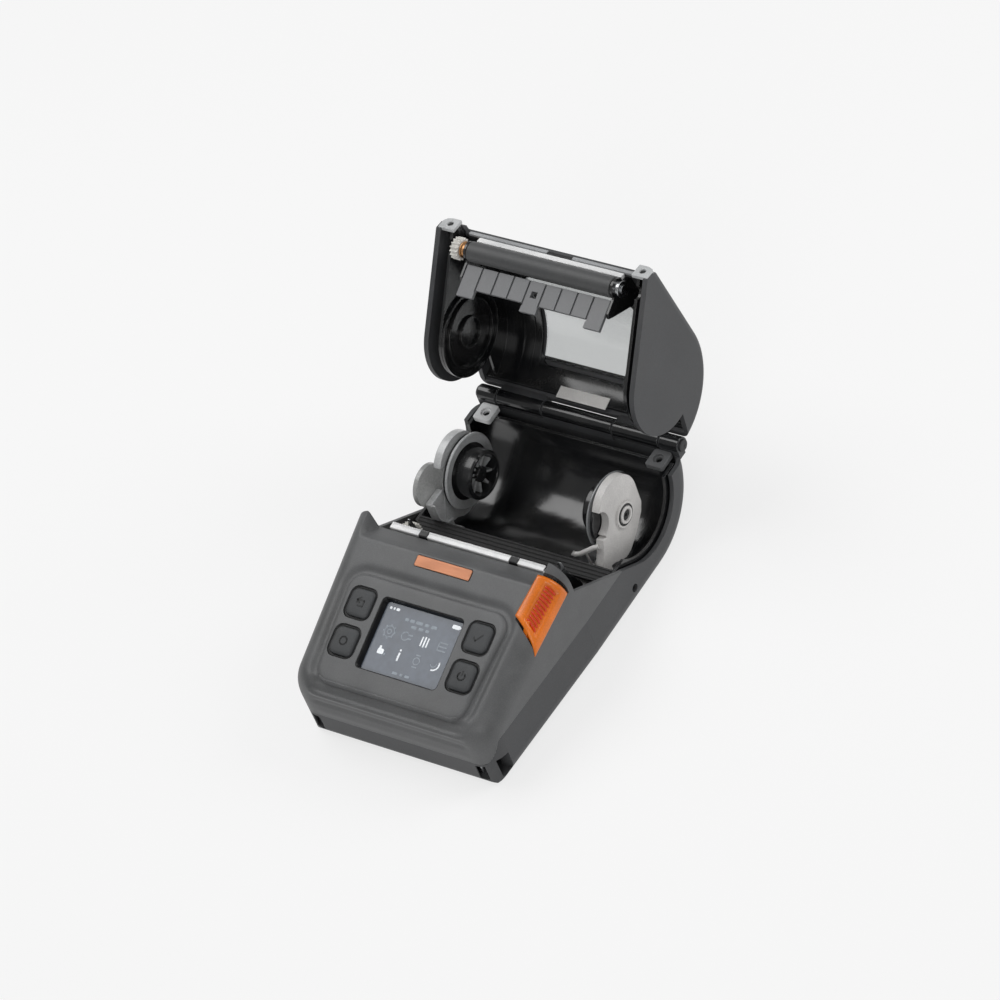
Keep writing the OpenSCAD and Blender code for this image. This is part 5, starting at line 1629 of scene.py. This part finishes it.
@dataclass
class RollHolders:
    """The two sliding arms and their discs, dressed over their solids.

    Attributes:
        hub: The discs' axis, as y and z in mm.
        face: The inner face of each disc, along X.
        disc_r: A disc's radius.
        core_r: The radius of the stub that carries the roll's core.
        stub: How far the stub stands inwards.
    """

    hub: Point2 = (45.5, 33.5)
    face: float = 38.5
    disc_r: float = 18.5
    core_r: float = 12.0
    stub: float = 7.0

    def ring(self, name: str, body: Body, finish: Finish, profile: Sequence[Point2], side: int,
             bevel: float = 0.15) -> bpy.types.Object:
        """Turns a closed profile round the hub.

        Args:
            name: The piece's name.
            body: The body that it rides on.
            finish: Its finish.
            profile: Points of x measured from the disc's inner face towards the arm, and radius.
            side: 1 for the right holder and -1 for the left one.
            bevel: The rounding of its edges in mm.

        Returns:
            The finished piece.
        """
        shape = Mesher().lathe([(side * (self.face + x), r) for x, r in profile], self.hub, 72)
        return shape.piece(name, body, finish, bevel=bevel)

    def rim(self, deep: float) -> list[Point2]:
        """The profile of a disc's sloping rim that begins a little behind the disc's inner face."""
        r = self.disc_r
        outer = [(deep, r - 0.5), (deep + 0.5, r + 0.05), (deep + 1.1, r + 0.05)]
        return outer + [(2.5, r - 4.4), (2.2, r - 4.7), (deep + 0.2, r - 1.4)]

    def disc(self, side: int, word: str) -> None:
        """Makes one disc: a cup with a broad pale rim, whose pale grey is a painted highlight, a dark floor
        and a toothed stub.
        """
        body = Body(f"{word}_disc")
        r, c, end = self.disc_r, self.core_r, -self.stub
        floor, back = 2.6, 4.0
        cup = [(2.2, r - 0.8), (2.4, r - 0.1), (3.6, r), (back, r - 0.4), (back, 2.4), (floor, 2.4),
               (floor, r - 5.2), (2.4, r - 2.6)]
        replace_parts(self.ring(f"{word}_disc_cup", body, Finishes.DISC, cup, side), f"{word}_roll_disc")
        # The rim ring is pale grey as a painted highlight: brighter and set further back on the left disc,
        # dimmer on the right.
        rim, deep = (Finishes.RIM_HIGHLIGHT, 1.6) if side < 0 else (Finishes.EDGE_HIGHLIGHT, 0.0)
        self.ring(f"{word}_disc_rim_highlight", body, rim, self.rim(deep), side, 0.1)
        stub = [(2.8, c), (end + 1.0, c), (end, c - 0.9), (end, c - 1.6), (end + 0.5, c - 2.0),
                (2.8, c - 2.0)]
        self.ring(f"{word}_core_stub", body, Finishes.DISC, stub, side)
        hub = [(2.8, 3.8), (end + 2.2, 3.8), (end + 1.6, 3.2), (end + 1.6, 0.9), (end + 2.4, 0.7),
               (2.8, 0.7)]
        self.ring(f"{word}_stub_hub", body, Finishes.DISC, hub, side)
        long = self.stub - 1.0
        web = Mesher()
        web.prism([(3.3, -0.55), (c - 1.8, -0.55), (c - 1.8, 0.55), (3.3, 0.55)], Axis.X, 0.0, long)
        start = (side * (self.face + floor) - (long if side > 0 else 0.0), *self.hub)
        # The left disc's stub ribs take the same pale finish as its painted rim highlight.
        finish = Finishes.RIM_HIGHLIGHT if side < 0 else Finishes.DISC
        repeat(f"{word}_stub_ribs", web, body, finish, 10, turn=36.0, start=start)

    def arm_detail(self, side: int, word: str) -> None:
        """Adds the hub's ring, its raised border and the pin's cap to one arm."""
        body = Body(f"{word}_arm")
        outer, inner = (Finishes.SOFT, Finishes.IVORY) if side > 0 else (Finishes.GLOSS, Finishes.ARM)
        parts = (
            ("hub_ring", outer, [(8.2, 5.4), (9.55, 5.4), (9.75, 5.1), (9.75, 4.5), (8.2, 4.5)]),
            ("hub_boss", inner, [(8.2, 4.3), (10.0, 4.3), (10.3, 4.0), (10.3, 2.9), (8.2, 2.9)]),
            ("axle_cap", Finishes.SOFT, [(8.0, 2.8), (9.4, 2.8), (9.7, 2.4), (9.7, 0.8), (8.0, 0.8)]),
        )
        for name, finish, profile in parts:
            self.ring(f"{word}_{name}", body, finish, profile, side, 0.1)

    def foot(self, side: int, word: str) -> None:
        """Adds the small guide fork that runs on the rail beside one arm."""
        y, z = self.hub[0] - 22, 10.5
        spots = ((-2.2, 2.4), (2.2, 2.4), (1.6, 7.6), (0.6, 9.0), (-1.0, 9.0), (-2.0, 6.0))
        shape = Mesher()
        shape.prism([(y + a, z + b) for a, b in spots], Axis.X, *sorted((side * 36.0, side * 42.9)))
        finish = Finishes.IVORY if side > 0 else Finishes.ARM
        shape.piece(f"{word}_arm_foot", Body(f"{word}_arm"), finish, bevel=0.35)

    def finger(self) -> None:
        """Adds the right arm's hooked finger with its two thin legs."""
        hook = Mesher()
        path = [(44.6, 26.0, 31.6), (42.0, 25.0, 31.0), (38.5, 23.6, 29.2), (35.0, 22.4, 27.2)]
        hook.tube([*path, (32.2, 21.6, 26.8), (31.2, 21.4, 27.6)], 1.25, 12)
        hook.piece("right_arm_finger", Body.RIGHT_ARM, Finishes.IVORY, bevel=0, sharp=50)
        legs = Mesher()
        low = 37.0
        for top in ((37.6, 23.3, 28.4), (44.2, 24.6, 27.4)):
            legs.tube([top, (0.5 * (top[0] + low), 24.0, 21.0), (low, 24.4, 15.2)], 0.6, 10)
        legs.piece("right_arm_legs", Body.RIGHT_ARM, Finishes.IVORY, bevel=0, sharp=50)

    def flare(self) -> None:
        """Adds the left arm's flared foot and the fold along its front."""
        wide = [(17.7, 38.4), (17.7, 28.6), (20.9, 22.0), (27.0, 19.6), (33.0, 17.2), (33.0, 33.0),
                (28.0, 38.4)]
        thin = [(17.9, 38.0), (17.9, 28.8), (21.0, 22.4), (25.8, 20.6), (26.4, 21.4), (21.8, 23.2),
                (19.0, 29.2), (19.0, 38.0)]
        parts = (("flare", wide, -46.6, -43.2, 0.4), ("fold", thin, -43.4, -41.4, 0.3))
        for word, outline, lo, hi, bevel in parts:
            shape = Mesher().prism(outline, Axis.X, lo, hi)
            shape.piece(f"left_arm_{word}", Body.LEFT_ARM, Finishes.ARM, bevel=bevel)

    def shelf(self) -> None:
        """Lays the dull ribbed pad on the shelf in front of the roll."""
        low, top, high = 25.9, 26.25, 26.75
        front, rear, half = 10.9, 19.4, 54.2
        ribs = [(front, low), (rear, low)]
        for k in range(4):
            y = rear - 0.5 - 2.1 * k
            ribs += [(y, top), (y - 0.25, high), (y - 0.75, high), (y - 1.0, top)]
        shape = Mesher().prism([*ribs, (front, top)], Axis.X, -half, half)
        shape.piece("bay_shelf_pad", Body.CHASSIS, Finishes.RUBBER_BLACK, bevel=0.1)

    def build(self) -> None:
        """Makes both discs and both arms' details."""
        for make in (self.disc, self.arm_detail, self.foot):
            for side, word in SIDES:
                make(side, word)
        self.finger()
        self.flare()
        self.shelf()


# Lid


@dataclass
class LidFittings:
    """What the lid carries in front and inside: caps, lip, strip, bushes, rings and ribs.

    Attributes:
        corner: Where the lid's front corners begin, along X.
        nose: The lid's front face, along Y, closed.
        skin_r: The radius of the inner skin's inside.
        dome_start: The angle round the dome's axis where the flat roof begins, in degrees.
        roof: The roof's slope, in degrees.
        screw: The place of the right cap's screw, as x and z.
        window_half: Half the window's width.
        window_ends: Where the window ends along the section.
        window_round: The rounding of its corners.
    """

    corner: float = 49.6
    nose: float = -10.0
    skin_r: float = 31.9
    dome_start: float = 106.0
    roof: float = 16.0
    screw: Point2 = (53.6, 51.6)
    window_half: float = 31.0
    window_ends: Point2 = (-19.4, 36.9)
    window_round: float = 8.5

    def on_lid(self, shape: Mesher, name: str, finish: Finish, bevel: float) -> bpy.types.Object:
        """Makes a piece of a shape that is given with the lid closed."""
        return shape.piece(name, Body.LID, finish, bevel=bevel, matrix=SIZE.opened())

    def dome(self, along: float, radius: float) -> Point2:
        """A point of the closed lid's section, from the place where its flat roof turns into the dome.

        Args:
            along: The distance back along the section, in mm.
            radius: The distance from the dome's axis.

        Returns:
            The point's y and z.
        """
        a = math.radians(self.dome_start) - max(0.0, along) / self.skin_r
        y, z = SIZE.dome[0] + radius * math.cos(a), SIZE.dome[1] + radius * math.sin(a)
        flat = min(0.0, along)
        return y + flat * math.cos(math.radians(self.roof)), z + flat * math.sin(math.radians(self.roof))

    def cap(self, side: int, word: str) -> None:
        """Makes the pale end cap of one front corner, with a screw in its hole."""
        inner, outer = self.corner, 58.5
        spots = ((inner, 47.9), (outer, 47.9), (outer, 52.6), (57.2, 54.4), (54.6, 55.3), (inner, 55.3))
        spot = (side * self.screw[0], self.screw[1])
        shape, hole, pin = Mesher(), Mesher(), Mesher()
        shape.prism([(side * x, z) for x, z in spots], Axis.Y, self.nose - 0.35, self.nose + 1.7)
        hole.prism(arc(spot, 1.5, 0, 345, 23), Axis.Y, self.nose - 2, self.nose + 3)
        made = carve(shape.loose(f"{word}_lid_cap"), [hole])
        made.data.transform(metres(SIZE.opened()))
        settle(made, Body.LID, Finishes.CAP, bevel=0.45)
        pin.prism(arc(spot, 1.45, 0, 345, 23), Axis.Y, self.nose + 0.5, self.nose + 1.6)
        self.on_lid(pin, f"{word}_cap_screw", Finishes.SOFT, 0.2)

    def lip(self) -> None:
        """Makes the two grey halves of the front lip and the dark, lower latch notch between them."""
        gap = 0.05
        for word, lo, hi, drop, finish in (
            ("left_lid_lip", -47.0, -3.0, 0.0, Finishes.LIP),
            ("lid_notch", -3.0, 11.0, 0.5, Finishes.SOFT),
            ("right_lid_lip", 11.0, 47.0, 0.0, Finishes.LIP),
        ):
            front = -3.9 + drop
            outline = [(front, 54.1), (-2.6, 54.1), (-2.6, 56.3), (front + 0.5, 56.3), (front, 55.7)]
            shape = Mesher().prism(outline, Axis.X, lo + gap, hi - gap)
            self.on_lid(shape, word, finish, 0.15)

    def strip(self) -> None:
        """Makes the bright strip beside the roller."""
        half, low, high = 40.3, 50.9, 53.9
        outline = [(-3.6, low), (-1.3, low), (-1.3, high), (-3.3, high), (-3.6, high - 0.4)]
        shape = Mesher().prism(outline, Axis.X, -half, half)
        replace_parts(self.on_lid(shape, "lid_strip_bright", Finishes.STRIP, 0.25), "lid_strip")

    def bush(self, side: int, word: str) -> None:
        """Makes one flanged bush in which the roller's shaft turns."""
        bore = 2.15
        profile = [(39.95, bore), (39.95, 4.0), (40.25, 4.15), (40.6, 3.2), (43.5, 3.2), (43.8, 3.9),
                   (44.35, 3.9), (44.35, bore)]
        shape = Mesher().lathe([(side * x, r) for x, r in profile], SIZE.platen, 48)
        finish = Finishes.STEEL if side > 0 else Finishes.BRONZE
        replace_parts(self.on_lid(shape, f"{word}_platen_bush", finish, 0.12), "platen_bushes")

    def rings(self) -> None:
        """Makes the round ribs inside both cheeks, about the roll's axis."""
        root, crest = 51.25, 49.75
        for word, side, radii in (("left", -1, (21.5, 17.2, 8.0)), ("right", 1, (20.0,))):
            for i, r in enumerate(radii):
                profile = [(root, r), (crest + 0.15, r), (crest, r - 0.3), (crest, r - 0.9), (root, r - 0.9)]
                shape = Mesher().lathe([(side * x, q) for x, q in profile], SIZE.roll, 96)
                self.on_lid(shape, f"{word}_cheek_ring_{i + 1}", Finishes.GLOSS, 0.1)

    def braces(self) -> None:
        """Makes the ribs that stiffen the lid's inner skin, in a row along X."""
        along = range(-20, 44, 3)
        outer, inner = ([self.dome(s, self.skin_r - less) for s in along] for less in (0.05, 0.75))
        shape = Mesher().prism(outer + inner[::-1], Axis.X, -0.35, 0.35)
        repeat("lid_skin_ribs", shape, Body.LID, Finishes.GLOSS, 2, step=(6.0, 0, 0), start=(-41.0, 0, 0),
               matrix=SIZE.opened())

    def window(self) -> None:
        """Fills the window's corners, so that it looks rounded from both sides."""
        half, radius = self.window_half, self.window_round
        lo, hi = self.window_ends
        corner_list = ((-1, hi, -1, 90), (1, hi, -1, 0), (-1, lo, 1, 180), (1, lo, 1, 270))
        for i, (sx, edge, inward, start) in enumerate(corner_list):
            bend = arc((sx * (half - radius), edge + inward * radius), radius, start, start + 90, 8)
            shape = Mesher()
            for near, far in zip(bend, bend[1:]):
                flat = ((sx * half, edge), near, far)
                depths = (self.skin_r - 0.02, self.skin_r + 1.1)
                shape.loft([[(x, *self.dome(s, r)) for x, s in flat] for r in depths])
            self.on_lid(shape, f"window_corner_{i + 1}", Finishes.GLOSS, 0)

    def build(self) -> None:
        """Makes every fitting of the lid."""
        for side, word in SIDES:
            self.cap(side, word)
        self.lip()
        self.strip()
        for side, word in SIDES:
            self.bush(side, word)
        self.rings()
        self.braces()
        self.window()


# Hinge


@dataclass
class Hinge:
    """The dark sleeves of the lid's hinge and the caps on the ends of its pin.

    Attributes:
        radius: The sleeves' radius.
        pin: The radius of the hole in a sleeve.
        fixed: The spans of the base's knuckles along X.
        turning: The spans of the lid's knuckles.
    """

    radius: float = 3.92
    pin: float = 2.3
    fixed: tuple = ((-57.0, -46.4), (-19.6, 19.6), (46.4, 57.0))
    turning: tuple = ((-45.8, -20.2), (20.2, 45.8))

    def sleeve(self, name: str, body: Body, lo: float, hi: float) -> None:
        """Makes one sleeve with chamfered ends round the pin."""
        r, gap, edge, pin = self.radius, 0.05, 0.3, self.pin
        lo, hi = lo + gap, hi - gap
        shape = Mesher()
        profile = [(lo, pin), (lo, r - edge), (lo + edge, r), (hi - edge, r), (hi, r - edge), (hi, pin)]
        shape.lathe(profile, SIZE.hinge, 48)
        shape.piece(name, body, Finishes.GLOSS, bevel=0)

    def pin_cap(self, side: int, word: str) -> None:
        """Makes the domed cap on one end of the pin."""
        profile = [(57.0, 0.05), (57.9, 0.05), (58.2, 1.2), (58.0, 2.9), (57.0, 3.1)]
        shape = Mesher().lathe([(side * x, r) for x, r in profile], SIZE.hinge, 40)
        shape.piece(f"{word}_pin_cap", Body.CHASSIS, Finishes.SOFT, bevel=0)

    def build(self) -> None:
        """Makes all sleeves and both pin caps."""
        for word, body, spans in (("base", Body.CHASSIS, self.fixed), ("lid", Body.LID, self.turning)):
            for i, (lo, hi) in enumerate(spans):
                self.sleeve(f"{word}_hinge_sleeve_{i + 1}", body, lo, hi)
        for side, word in SIDES:
            self.pin_cap(side, word)


# The whole printer

OWN_FINISH = {
    "media_liner": Finishes.LINER,
    "left_guide_arm": Finishes.ARM,
    "print_head": Finishes.SOFT,
    "left_rear_bracket": Finishes.STRIP,
    "sensor_bar": Finishes.SOFT,
}


def dress_carried_nodes() -> None:
    """Gives every CAD node that keeps its own shape the finish of its slot, or its own."""
    finishes = Finishes.by_slot()
    slots = {row["node"]: row["material_slot"] for row in frame["record"]["subparts"]}
    for name, held in frame["nodes"].items():
        finish = OWN_FINISH.get(name) or finishes.get(slots.get(name, ""), Finishes.SHELL)
        for spot in held.material_slots:
            spot.material = Finishes.get(finish)
        LOG.info("node %s dressed as %s", name, finish.name)


def main() -> None:
    """Builds the studio and every sub-assembly in order."""
    logging.basicConfig(level=logging.INFO, format="%(name)s: %(message)s")
    Studio().build()
    dress_carried_nodes()
    for assembly in (FrontCover, ControlPanel, ReleaseLever, TearBar, RollHolders, LidFittings, Hinge):
        assembly().build()


if __name__ == "__main__":
    main()
